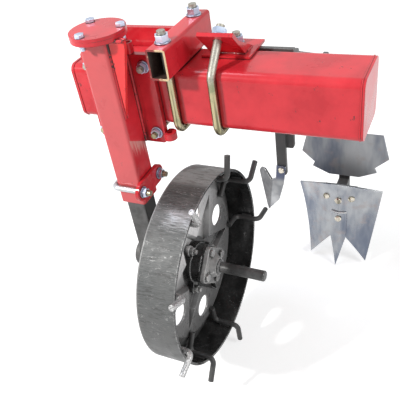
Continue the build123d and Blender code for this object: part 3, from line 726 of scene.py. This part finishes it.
# %% Bright steel
def bright_steel(name, dull):
    edges = start_finish(name, 0.0010)
    lines, patches = place(grain, Stretch=(1.0, 1.0, 0.06), Scale=700.0)
    polish_and_reflection_sweeps = place(grain, Stretch=(1.0, 1.0, 0.30), Scale=11.0)["Height"]
    stain = place(chips, Scale=34.0, Amount=0.58)
    # Polish and painted reflections: dark blue and pale grey sweeps.
    plate = mix(ramp(polish_and_reflection_sweeps, 0.34, 0.64), (0.17, 0.195, 0.25), (0.47, 0.485, 0.50))
    rosy = ramp(patches, 0.52, 0.70, 0.0, 0.5)
    plate = mix(rosy, plate, (0.38, 0.33, 0.32))
    return end_finish(
        edges, lines, 0.00002,
        Base_Color=mix(times(stain, 0.35), plate, (0.30, 0.24, 0.19)),
        Metallic=1.0 - 0.5 * dull,
        Roughness=drift(polish_and_reflection_sweeps, 0.34 + 0.25 * dull, 0.16 + 0.25 * dull),
    )


finishes["bright_steel"] = bright_steel("bright_steel", 0.0)
guard_finish = bright_steel("dull_steel", 1.0)

# %% [markdown]
# ### Worn casting
# The bearing housings are cast iron under thin black paint. The sandy skin is darkened in its
# hollows by paint left there and by painted shade, and is rubbed silvery on its edges.

# %% Worn casting
def worn_casting():
    edges = start_finish("worn_casting", 0.003)
    bumps, patches = place(grain, Scale=520.0)
    rubbed = rub(edges, Scale=170.0, Amount=0.72, Edge_Pull=0.40)
    dusty = place(dust, Amount=0.25, Scale=40.0)
    coat = clouded(patches, grey(0.13), grey(0.42))
    # Hollows darkened by paint left there and by painted shade.
    coat = mix(place(crease_shade, Reach=0.012), coat, grey(0.03))
    worn = mix(rubbed, coat, (0.54, 0.54, 0.53))
    return end_finish(
        edges, bumps, 0.0005,
        Base_Color=mix(dusty, worn, (0.36, 0.34, 0.31)),
        Metallic=times(rubbed, 0.8),
        Roughness=drift(patches, 0.42, 0.66),
    )


finishes["worn_casting"] = worn_casting()

# %% [markdown]
# ### Scoured share
# The share is forged spring steel with a wing folded back along a leaning crease. Soil runs up the
# front facet and polishes it, and the facet is also painted lighter, most of all at the tip, as a face
# that catches more light, while the wing stays darker. How far a point lies beside the crease tells
# the two apart. The neck is still blue from its forging.

# %% Scoured share
share_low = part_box("tine_share")[0]
crease_lean = 0.134
crease_foot = share_low.x + 0.035
share_neck = 0.125
blue_from, blue_full = share_neck - 0.018, share_neck + 0.006


def scoured_share():
    edges = start_finish("scoured_share", 0.002)
    lines, patches = place(grain, Stretch=(1.0, 1.0, 0.09), Scale=700.0)
    spot = split(spot_of())
    height = minus(spot["Z"], share_low.z)
    beside = minus(minus(spot["X"], crease_foot), times(height, crease_lean))
    on_facet = ramp(beside, -0.002, 0.004)
    # Polish and painted light: the front facet is lighter, most of all at the tip.
    polish_and_painted_light = times(on_facet, ramp(height, 0.15, 0.02, 0.25, 1.0))
    rubbed = rub(edges, Scale=150.0, Amount=0.50, Edge_Pull=0.42)
    dull = clouded(patches, (0.12, 0.123, 0.13), (0.21, 0.213, 0.22))
    bright = clouded(patches, (0.30, 0.31, 0.33), (0.50, 0.51, 0.52))
    blued = times(on_facet, ramp(height, blue_from, blue_full, 0.0, 0.85))
    plate = mix(blued, mix(polish_and_painted_light, dull, bright), (0.085, 0.10, 0.17))
    return end_finish(
        edges, lines, 0.0001,
        Base_Color=mix(rubbed, plate, grey(0.58)),
        Metallic=0.85,
        Roughness=drift(lines, 0.32, 0.52),
    )


finishes["share_steel"] = scoured_share()

# %% [markdown]
# ### Dark shaft
# The axle is drawn bar with a dark oiled skin. Turning marks ring it, and its end face and
# chamfer are brighter where things have slid over them.

# %% Dark shaft
def dark_shaft():
    edges = start_finish("dark_shaft", 0.002)
    rings = place(grain, Stretch=(1.0, 0.05, 0.05), Scale=900.0)["Height"]
    bumps, patches = place(grain, Scale=420.0)
    rubbed = rub(edges, Scale=320.0, Amount=0.64, Edge_Pull=0.35)
    bar = clouded(patches, grey(0.065), grey(0.19))
    return end_finish(
        edges, plus(rings, bumps), 0.0002,
        Base_Color=mix(rubbed, bar, grey(0.40)),
        Metallic=plus(0.35, times(rubbed, 0.6)),
        Roughness=drift(patches, 0.36, 0.56),
    )


finishes["dark_steel"] = dark_shaft()

# %% [markdown]
# ### Lug steel
# The bent lugs were painted with the wheel. The ones that met the ground last are bare and
# silvery, the others still black with bright tips, so the wear depends on the turn about the
# axle and on the radius.

# %% Lug steel
bare_turn = 153.0
bare_spread = radians(56.0)
bare_fade = 0.15
tip_from, tip_full = tread_radius + 0.012, tread_radius + 0.042


def lug_steel():
    edges = start_finish("lug_steel", 0.002)
    spin = place(around_axle)
    bumps, patches = place(grain, Scale=420.0)
    toward_bare = toward(spin, bare_turn)
    bare_side = ramp(toward_bare, cos(bare_spread), cos(bare_spread - bare_fade))
    tip = ramp(spin["Radius"], tip_from, tip_full, 0.0, 0.22)
    wear = plus(times(bare_side, 0.58), tip)
    rubbed = place(chips, Edge=wear, Scale=110.0, Amount=0.32, Edge_Pull=0.62)
    coat = mix(patches, grey(0.025), grey(0.085))
    steel = mix(ramp(bumps, 0.35, 0.65), grey(0.22), grey(0.66))
    return end_finish(
        edges, bumps, 0.0004,
        Base_Color=mix(rubbed, coat, steel),
        Metallic=times(rubbed, 0.85),
        Roughness=drift(patches, 0.34, 0.56),
    )


finishes["lug_steel"] = lug_steel()

# %% [markdown]
# ### The sawn tube
# The cross tube was painted before it was sawn, so its mouth shows a rim of bare yellowish steel
# with smears of paint, most of them at its left, and the paint stops in the dark inside. The tube's
# own box says where the rim and the inside are.

# %% Sawn tube
tube_low, tube_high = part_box("cross_tube")
tube_wall = 0.004
saw_depth = 0.0004
skin = tube_wall - saw_depth


def inside(value, low, high):
    return times(sum_of("GREATER_THAN", value, low), sum_of("LESS_THAN", value, high))


def sawn_tube():
    edges = start_finish("sawn_tube", 0.0012)
    colour = enamel(edges, 0.46)
    place_of = spot_of()
    spot = split(place_of)
    across = inside(spot["X"], tube_low.x + skin, tube_high.x - skin)
    upright_band = inside(spot["Z"], tube_low.z + skin, tube_high.z - skin)
    front_rim = sum_of("LESS_THAN", spot["Y"], tube_low.y + saw_depth)
    rear_rim = sum_of("GREATER_THAN", spot["Y"], tube_high.y - saw_depth)
    sawn = most(front_rim, rear_rim)
    right_share = ramp(spot["X"], tube_low.x, tube_high.x, -0.16, 0.16)
    bare = plus(noise(place_of, 90.0, 4.0, 0.6), right_share)
    rusty = mix(ramp(bare, 0.42, 0.58), (0.24, 0.026, 0.026), (0.60, 0.46, 0.27))
    colour = mix(times(across, upright_band), colour, (0.085, 0.055, 0.048))
    return shade(Base_Color=mix(sawn, colour, rusty), Metallic=times(sawn, 0.5))


tube_finish = sawn_tube()

# %% [markdown]
# ### The clamp rod
# The rod round the leg is bright zinc where it was bent and yellowed on its threaded ends, which
# were cut before plating. Its colour changes at the face of its nuts.

# %% Clamp rod
nut_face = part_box("leg_u_bolt_nuts")[1].x
nut_fade = 0.002


def clamp_rod():
    edges = start_finish("clamp_rod", 0.0008)
    bumps, patches = place(grain, Scale=420.0)
    past = ramp(split(spot_of())["X"], nut_face - nut_fade, nut_face)
    bright = clouded(patches, (0.40, 0.41, 0.38), (0.56, 0.58, 0.62))
    yellowed = mix(patches, (0.24, 0.20, 0.13), (0.44, 0.38, 0.27))
    return end_finish(
        edges, bumps, 0.00008,
        Base_Color=mix(past, bright, yellowed),
        Metallic=0.7,
        Roughness=drift(patches, 0.26, 0.42),
    )


clamp_finish = clamp_rod()

# %% [markdown]
# ## Dressing the parts
# The record names a finish slot for every part, so a loop can dress them all. Only the scuffed post,
# its gusset, the streaked plate, the greasy leg, the sawn tube, the clamp rod and the guard have a
# finish of their own. The bearing rings are as oily as the axle, and soil has scoured the bolts of
# the tools pale.

# %% Dress every part
own_finish = {
    "leg_post": post_finish,
    "post_gusset": painted_lit_finish,
    "leg_bracket_plate": plate_finish,
    "leg_bar": leg_finish,
    "cross_tube": tube_finish,
    "leg_u_bolt": clamp_finish,
    "ridger_guard": guard_finish,
    "bearing_inner_rings": finishes["dark_steel"],
    "tine_share_bolt": pale_finish,
    "ridger_bolts": pale_finish,
}
for entry in subparts:
    skins = nodes[entry["node"]].data.materials
    skins.clear()
    skins.append(own_finish.get(entry["node"], finishes[entry["material_slot"]]))
print("dressed", len(subparts), "parts,", len(own_finish), "in their own way")

# %% [markdown]
# ## Weld beads
# The frame is welded by hand, and a bead in every corner tells more about how it was made than
# any paint. A bead is a row of overlapping puddles. Here it is a tube swept along the corner,
# half sunk in both plates, whose radius steps back once per puddle like a saw tooth.

# %% A tube along stations
def swept(stations, sides, closed):
    points, faces = [], []
    for centre, along, outward, radius in stations:
        sideways = along.cross(outward).normalized()
        for k in range(sides):
            turn = 2 * pi * k / sides
            points.append(centre + radius * (cos(turn) * outward + sin(turn) * sideways))
    count = len(stations)
    for i in range(count if closed else count - 1):
        here = i * sides
        there = (i + 1) % count * sides
        for k in range(sides):
            after = (k + 1) % sides
            faces.append((here + k, here + after, there + after, there + k))
    if not closed:
        faces.append(tuple(range(sides))[::-1])
        faces.append(tuple(range((count - 1) * sides, count * sides)))
    return points, faces


def build(name, tubes, material, body):
    points, faces = [], []
    for tube_points, tube_faces in tubes:
        start = len(points)
        points += tube_points
        faces += [tuple(start + i for i in face) for face in tube_faces]
    mesh = bpy.data.meshes.new(name)
    mesh.from_pydata(points, [], faces)
    mesh.shade_smooth()
    mesh.materials.append(material)
    piece = bpy.data.objects.new(name, mesh)
    scene.collection.objects.link(piece)
    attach(piece, body)
    print(name, len(tubes))


print("sweeps ready")

# %% A weld bead
puddle = 0.0042
puddle_foot = 0.90
puddle_rise = 0.16
puddle_jitter = 0.04
bead_step = 0.0012
bead_tail = 0.45
bead_sides = 8


def bead(path, radius, outward, closed=False):
    corners_of = [Vector(point) for point in path]
    if closed:
        corners_of.append(corners_of[0])
    outward = Vector(outward).normalized()
    stations = []
    travelled = random.uniform(0.0, puddle)
    for start, end in zip(corners_of, corners_of[1:]):
        run = end - start
        steps = max(2, round(run.length / bead_step))
        for i in range(steps):
            lift = puddle_foot + puddle_rise * (travelled / puddle % 1.0)
            lift += random.uniform(-puddle_jitter, puddle_jitter)
            stations.append((start + run * (i / steps), run.normalized(), outward, radius * lift))
            travelled += run.length / steps
    if not closed:
        stations.append((corners_of[-1], run.normalized(), outward, radius * bead_tail))
        stations[0] = (*stations[0][:3], radius * bead_tail)
    return swept(stations, bead_sides, closed)


def arc(centre, radius, from_deg, to_deg, across, up, pieces=24):
    points = []
    for i in range(pieces + 1):
        turn = radians(from_deg + (to_deg - from_deg) * i / pieces)
        points.append(Vector(centre) + radius * (cos(turn) * across + sin(turn) * up))
    return points


X, Y, Z = Vector((1, 0, 0)), Vector((0, 1, 0)), Vector((0, 0, 1))
red = finishes["red_paint"]
print("beads ready")

# %% [markdown]
# Beads on black parts are painted with them. Their paint sits thick in the ripples, so it is
# darker and shinier than on the plates and has no rubbed edges. Beads that run through soil are
# scoured to pale steel instead.

# %% Skins of beads
def bead_skin(name, darkest, palest, metal):
    start_finish(name)
    patches = place(grain, Scale=700.0)["Patches"]
    return shade(
        Base_Color=mix(patches, grey(darkest), grey(palest)),
        Metallic=metal,
        Roughness=drift(patches, 0.30, 0.50),
    )


black = bead_skin("painted_bead", 0.020, 0.075, 0.0)
scoured = bead_skin("scoured_bead", 0.52, 0.76, 1.0)

# %% [markdown]
# The post meets the bracket plate in two upright corners, the round flange sits on the post, and
# the gusset is welded on both of its sides.

# %% Beads on the leg post
fin_low, fin_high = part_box("post_gusset")
plate_fillet, fin_fillet, top_fillet = 0.0042, 0.0032, 0.0036
top = post_high.z
top_runs = (
    ((post_low.x, post_low.y, top), (post_high.x, post_low.y, top), Y),
    ((post_low.x, post_low.y, top), (post_low.x, post_high.y, top), X),
    ((post_low.x, post_high.y, top), (post_high.x, post_high.y, top), Y),
    ((post_high.x, fin_high.y, top), (post_high.x, post_high.y, top), X),
)
seams = []
for x in (post_low.x, post_high.x):
    seams.append(bead([(x, plate_low.y, plate_low.z), (x, plate_low.y, plate_high.z)], plate_fillet, X))
for y in (fin_low.y, fin_high.y):
    seams.append(bead([(fin_low.x, y, fin_low.z), (fin_low.x, y, fin_high.z)], fin_fillet, Y))
    seams.append(bead([(fin_low.x, y, fin_high.z), (fin_high.x, y, fin_high.z)], fin_fillet, Y))
for start, end, outward in top_runs:
    seams.append(bead([start, end], top_fillet, outward))
build("post_welds", seams, flaked_finish, "toolbar")

# %% [markdown]
# Closing plates are welded all round the ends of the toolbar and ground nearly flush. The brace
# and the linkage base have plain fillets along their feet.

# %% Beads on the toolbar
beam_low, beam_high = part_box("toolbar_beam")
beam_corner = 0.016
lean_plate = 0.008
front_inset, rear_inset, rib_inset, base_inset = 0.002, 0.008, 0.004, 0.016
cap_fillet, foot_fillet, rib_fillet, base_fillet = 0.0016, 0.0032, 0.0026, 0.0038


def rounded_square(x, low, high, corner):
    middle = (low + high) / 2
    path = []
    for y, z, turn in ((high.y, high.z, 0), (low.y, high.z, 90), (low.y, low.z, 180), (high.y, low.z, 270)):
        inner_y = y - copysign(corner, y - middle.y)
        inner_z = z - copysign(corner, z - middle.z)
        path += arc((x, inner_y, inner_z), corner, turn, turn + 90, Y, Z, pieces=8)
    return path


seams = [
    bead(rounded_square(x, beam_low, beam_high, beam_corner), cap_fillet, X, closed=True)
    for x in (beam_low.x, beam_high.x)
]
lean_low, lean_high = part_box("brace_inclined_plate")
base_low, base_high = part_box("brace_base_plate")
ribs_low, ribs_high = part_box("brace_gussets")
foot_front = lean_high.y - lean_plate * sqrt(2)
foot_top = base_high.z
for y, inset in ((foot_front, front_inset), (lean_high.y, rear_inset)):
    ends = [(lean_low.x + inset, y, foot_top), (lean_high.x - inset, y, foot_top)]
    seams.append(bead(ends, foot_fillet, Z))
for x in (ribs_low.x, ribs_high.x):
    ends = [(x, lean_high.y, foot_top), (x, ribs_high.y - rib_inset, foot_top)]
    seams.append(bead(ends, rib_fillet, Z))
base_low, base_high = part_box("link_base_plate")
base_foot, base_top = base_low.z + base_inset, base_high.z - base_inset
for x in (base_low.x, base_high.x):
    seams.append(bead([(x, base_low.y, base_foot), (x, base_low.y, base_top)], base_fillet, Y))
build("toolbar_welds", seams, red, "toolbar")

# %% [markdown]
# The cheeks of the linkage are welded upright on their base plate and on the gang bar. A node
# may hold several solids, so a helper first splits a mesh into its solids: corners at the same
# place count as one, and faces that share corners belong together.

# %% Solids of a part
def solids_of(node):
    mesh = nodes[node].data
    places = {}
    label = [places.setdefault(tuple(round(c, 6) for c in v.co), len(places)) for v in mesh.vertices]
    owner = list(range(len(places)))

    def root(i):
        while owner[i] != i:
            owner[i] = owner[owner[i]]
            i = owner[i]
        return i

    for face in mesh.polygons:
        first = root(label[face.vertices[0]])
        for index in face.vertices[1:]:
            owner[root(label[index])] = first
    groups = {}
    for spot, i in places.items():
        groups.setdefault(root(i), []).append(Vector(spot))
    spreads = [list(zip(*spots)) for spots in groups.values()]
    boxes = [(Vector(map(min, each)), Vector(map(max, each))) for each in spreads]
    return sorted(boxes, key=lambda box: tuple(round(c, 4) for c in box[0]))


print("cheeks on the base plate", len(solids_of("link_front_cheeks")))

# %% Beads on the linkage
cheek_fillet = 0.0034
cheek_inset = 0.004
seams = []
for low, high in solids_of("link_front_cheeks"):
    for x in (low.x, high.x):
        ends = [(x, low.y, low.z + cheek_inset), (x, low.y, high.z - cheek_inset)]
        seams.append(bead(ends, cheek_fillet, Y))
build("link_welds", seams, black, "toolbar")

bar_low, bar_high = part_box("gang_bar")
seams = []
for low, high in solids_of("gang_cheeks"):
    for x in (low.x, high.x):
        ends = [(x, bar_low.y + cheek_inset, bar_high.z), (x, bar_high.y - cheek_inset, bar_high.z)]
        seams.append(bead(ends, cheek_fillet, Z))
build("gang_welds", seams, black, "gang")

# %% [markdown]
# The leg stands on the round axle boss, so its bead rises and falls round the boss: two arcs on
# the flat sides and two straight runs front and rear.

# %% Beads on the leg
bar_low, bar_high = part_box("leg_bar")
boss_low, boss_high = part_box("axle_boss")
arc_fillet, run_fillet = 0.0030, 0.0036
boss_radius = (boss_high.y - boss_low.y) / 2
boss_centre = (boss_low + boss_high) / 2
half_turn = degrees(asin((bar_high.y - bar_low.y) / 2 / boss_radius))
seams = []
for x in (bar_low.x, bar_high.x):
    centre = (x, boss_centre.y, boss_centre.z)
    seams.append(bead(arc(centre, boss_radius, 90 - half_turn, 90 + half_turn, Y, Z), arc_fillet, X))
foot = boss_centre.z + boss_radius * cos(radians(half_turn))
for y in (bar_low.y, bar_high.y):
    seams.append(bead([(bar_low.x, y, foot), (bar_high.x, y, foot)], run_fillet, Y))
build("leg_welds", seams, black, "leg")

# %% [markdown]
# Every lug lies along the inside of the rim with a fillet on both sides, and one long bead joins
# the web to the rim.

# %% Beads on the wheel
web_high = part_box("wheel_web")[1]
lug_rod = 0.0065
lug_bend = 0.022
lug_seat = 0.78
lug_fillet, web_fillet = 0.0027, 0.0024
lug_sink, web_sink = 0.0012, 0.0008
shoulder_drop = 0.020
ring_pieces = 143
ring_end = 360.0 * ring_pieces / (ring_pieces + 1)
seams = []
for low, high in solids_of("wheel_lugs"):
    centre = (low + high) / 2
    turn = atan2(centre.z - axle_centre.z, centre.y - axle_centre.y)
    for side in (-1, 1):
        lean = turn + side * lug_rod * lug_seat / inner_radius
        out_dir = Vector((0, cos(lean), sin(lean)))
        foot = Vector((0, axle_centre.y, axle_centre.z)) + out_dir * (inner_radius - lug_sink)
        ends = [foot + X * (low.x + lug_bend), foot + X * (rim_high.x - rim_wall)]
        seams.append(bead(ends, lug_fillet, out_dir))
ring_centre = (web_high.x - shoulder_drop, axle_centre.y, axle_centre.z)
ring = arc(ring_centre, inner_radius - web_sink, 0, ring_end, Y, Z, ring_pieces)
seams.append(bead(ring, web_fillet, X, closed=True))
build("wheel_welds", seams, black, "wheel")

# %% [markdown]
# The guard plate of the ridger is tacked to the shank on both sides. The point lies on the wings,
# and a thin bead along its top edge, worn down by the soil, keeps it closed. The bead follows the
# top corners of the point's own mesh.

# %% Beads on the ridger
stem_low, stem_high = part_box("ridger_shank")
guard_low, guard_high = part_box("ridger_guard")
tack_fillet, point_fillet = 0.0030, 0.0026
tack_length = 0.024
tack_rises = (0.15, 0.62)
seams = []
for x in (stem_low.x, stem_high.x):
    for rise in tack_rises:
        height = guard_low.z + (guard_high.z - guard_low.z) * rise
        ends = [(x, stem_low.y, height), (x, stem_low.y, height + tack_length)]
        seams.append(bead(ends, tack_fillet, Y))
build("ridger_welds", seams, black, "ridger")

top_slack = 0.0005
crest_back, crest_lift = 0.0020, 0.0006
crest = {}
point_corners = [corner.co for corner in nodes["ridger_point"].data.vertices]
point_top = max(corner.z for corner in point_corners)
for corner in point_corners:
    if point_top - corner.z < top_slack:
        across = round(corner.x, 4)
        crest[across] = max(corner.y, crest.get(across, corner.y))
path = [(x, crest[x] - crest_back, point_top + crest_lift) for x in sorted(crest)]
build("point_weld", [bead(path, point_fillet, Z)], scoured, "ridger")

# %% [markdown]
# ## Threads
# Each bolt ends a few millimetres beyond its nut, and there its thread shows. A thread is one
# long ridge wound round the rod, so it is a thin four-sided tube swept along a helix, sunk into
# the rod so that only the crest stands out. Its lead-in, sink and size are in pitches.

# %% A thread
per_turn = 18
lead_in = 0.8
ridge_sink = 0.16
ridge_size = 0.38
ridge_sides = 4


def thread(tip, inward, size, length):
    radius, pitch = size
    inward = Vector(inward).normalized()
    side = inward.orthogonal().normalized()
    other = inward.cross(side)
    stations = []
    for i in range(round(per_turn * (length / pitch - 1.0))):
        turn = 2 * pi * i / per_turn
        outward = cos(turn) * side + sin(turn) * other
        along = cos(turn) * other - sin(turn) * side
        centre = Vector(tip) + inward * pitch * (lead_in + i / per_turn)
        centre += outward * (radius - pitch * ridge_sink)
        stations.append((centre, along, outward, pitch * ridge_size))
    return swept(stations, ridge_sides, False)


print("thread ready")

# %% [markdown]
# A bolt's box gives its end: the solids that reach the far face of their part are the bolts, and
# the shorter ones are nuts. A thread's size is its radius and its pitch.

# %% Threads on bolts and pins
m10, m12, m16, m20 = (0.005, 0.0015), (0.006, 0.00175), (0.008, 0.002), (0.010, 0.0025)
past_nut = 0.007
past_cap = 0.010
end_slack = 0.0005


def end_of(box, axis):
    half_size = (box[1] - box[0]) / 2
    return (box[0] + box[1]) / 2 + axis * abs(half_size.dot(axis))


def bolt_ends(node, axis):
    ends = [end_of(box, axis) for box in solids_of(node)]
    far = max(end.dot(axis) for end in ends)
    return [end for end in ends if far - end.dot(axis) < end_slack]


zinc = finishes["zinc_fastener"]
gold = finishes["yellow_zinc"]
cast = finishes["worn_casting"]
threaded = (
    ("leg_bracket_bolts", -Y, m12, past_nut, gold, "toolbar"),
    ("post_cap_bolts", -Z, m10, past_cap, zinc, "toolbar"),
    ("link_front_pins", X, m20, past_nut, zinc, "toolbar"),
    ("link_rear_pins", X, m20, past_nut, zinc, "gang"),
    ("tool_keeper_bolts", Y, m10, past_nut, zinc, "gang"),
    ("hub_ear_bolts", X, m10, past_nut, cast, "wheel"),
    ("tine_share_bolt", Y, m10, past_nut, gold, "tine"),
    ("ridger_bolts", Y, m10, past_nut, zinc, "ridger"),
)
for node, axis, size, length, material, body in threaded:
    ridges = [thread(tip, -axis, size, length) for tip in bolt_ends(node, axis)]
    build(node + "_thread", ridges, material, body)

# %% [markdown]
# The U-bolts have no straight box, so their ends are found from their nuts. Three of the four
# large nuts sit level, and the fourth leans with the brace plate.

# %% Threads on the U-bolts
nut_height = 0.013
level_height = 0.02
ridges = []
for low, high in solids_of("u_bolt_nuts"):
    lean = Z if high.z - low.z < level_height else (Y + Z).normalized()
    tip = (low + high) / 2 + lean * (nut_height / 2 + past_nut)
    ridges.append(thread(tip, -lean, m16, past_nut))
build("u_bolt_thread", ridges, gold, "toolbar")

past_clamp_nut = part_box("leg_u_bolt")[1].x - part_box("leg_u_bolt_nuts")[1].x
ridges = []
for box in solids_of("leg_u_bolt_nuts"):
    tip = end_of(box, X) + X * past_clamp_nut
    ridges.append(thread(tip, -X, m12, past_clamp_nut))
build("leg_u_bolt_thread", ridges, clamp_finish, "toolbar")

# %% [markdown]
# ## The studio
# The object stands on a plain white floor. The floor takes the shadow from the lamps and adds a
# little of its own white for the camera and for reflections, so that it ends white with no more
# light on the object. Far from the lamps it adds more, so that no horizon shows.

# %% Floor
floor_size = 16.0
floor_gap = 0.001
floor_level = cad_box[0].z - floor_gap
floor_centre = (0.3, 0.0, floor_level)


def seen_by_any():
    ray = put("LightPath").outputs
    return most(ray["Is Camera Ray"], ray["Is Glossy Ray"], ray["Is Transmission Ray"])


bpy.ops.mesh.primitive_plane_add(size=floor_size, location=floor_centre)
floor = bpy.context.object
floor.name = "floor"
start_finish("studio_floor")
own_white = ramp(vector_sum("LENGTH", spot_of()), 1.0, 4.0, 0.60, 0.88)
floor_finish = shade(
    Base_Color=grey(0.72),
    Roughness=0.9,
    Specular_IOR_Level=0.1,
    Emission_Color=grey(1.0),
    Emission_Strength=times(seen_by_any(), own_white),
)
floor.data.materials.append(floor_finish)
print("floor at", round(floor_level, 4))

# %% [markdown]
# The world is white where it is seen and a softer grey where it lights the parts. Three soft
# boxes do the rest: a key from the front left, a weaker fill from the right that models the
# wheel's pressed web, and a pale blue one overhead that lies as a sheen on what faces up.

# %% World and lamps
world = bpy.data.worlds.new("studio")
scene.world = world
world.use_nodes = True
work_on(world.node_tree)
strength = ramp(seen_by_any(), 0.0, 1.0, 0.33, 1.0)
fill(tree.nodes["Background"], Color=grey(1.0), Strength=strength)


def softbox(name, spot, aim, size, watts, tint):
    data = bpy.data.lights.new(name, "AREA")
    data.shape = "RECTANGLE"
    data.size, data.size_y = size
    data.energy = watts
    data.color = tint
    lamp = bpy.data.objects.new(name, data)
    lamp.location = spot
    lamp.rotation_euler = (Vector(aim) - Vector(spot)).to_track_quat("-Z", "Y").to_euler()
    scene.collection.objects.link(lamp)
    print("lamp", name)


middle = (0.28, 0.0, -0.2)
softbox("key", (-1.7, -2.4, 2.1), middle, (0.25, 0.25), 118.0, (1.0, 0.98, 0.95))
softbox("fill", (2.6, -0.3, 1.5), middle, (0.9, 0.9), 27.0, (1.0, 1.0, 1.0))
softbox("top", (-0.9, 0.15, 2.2), middle, (1.0, 1.0), 17.0, (0.80, 0.86, 1.0))
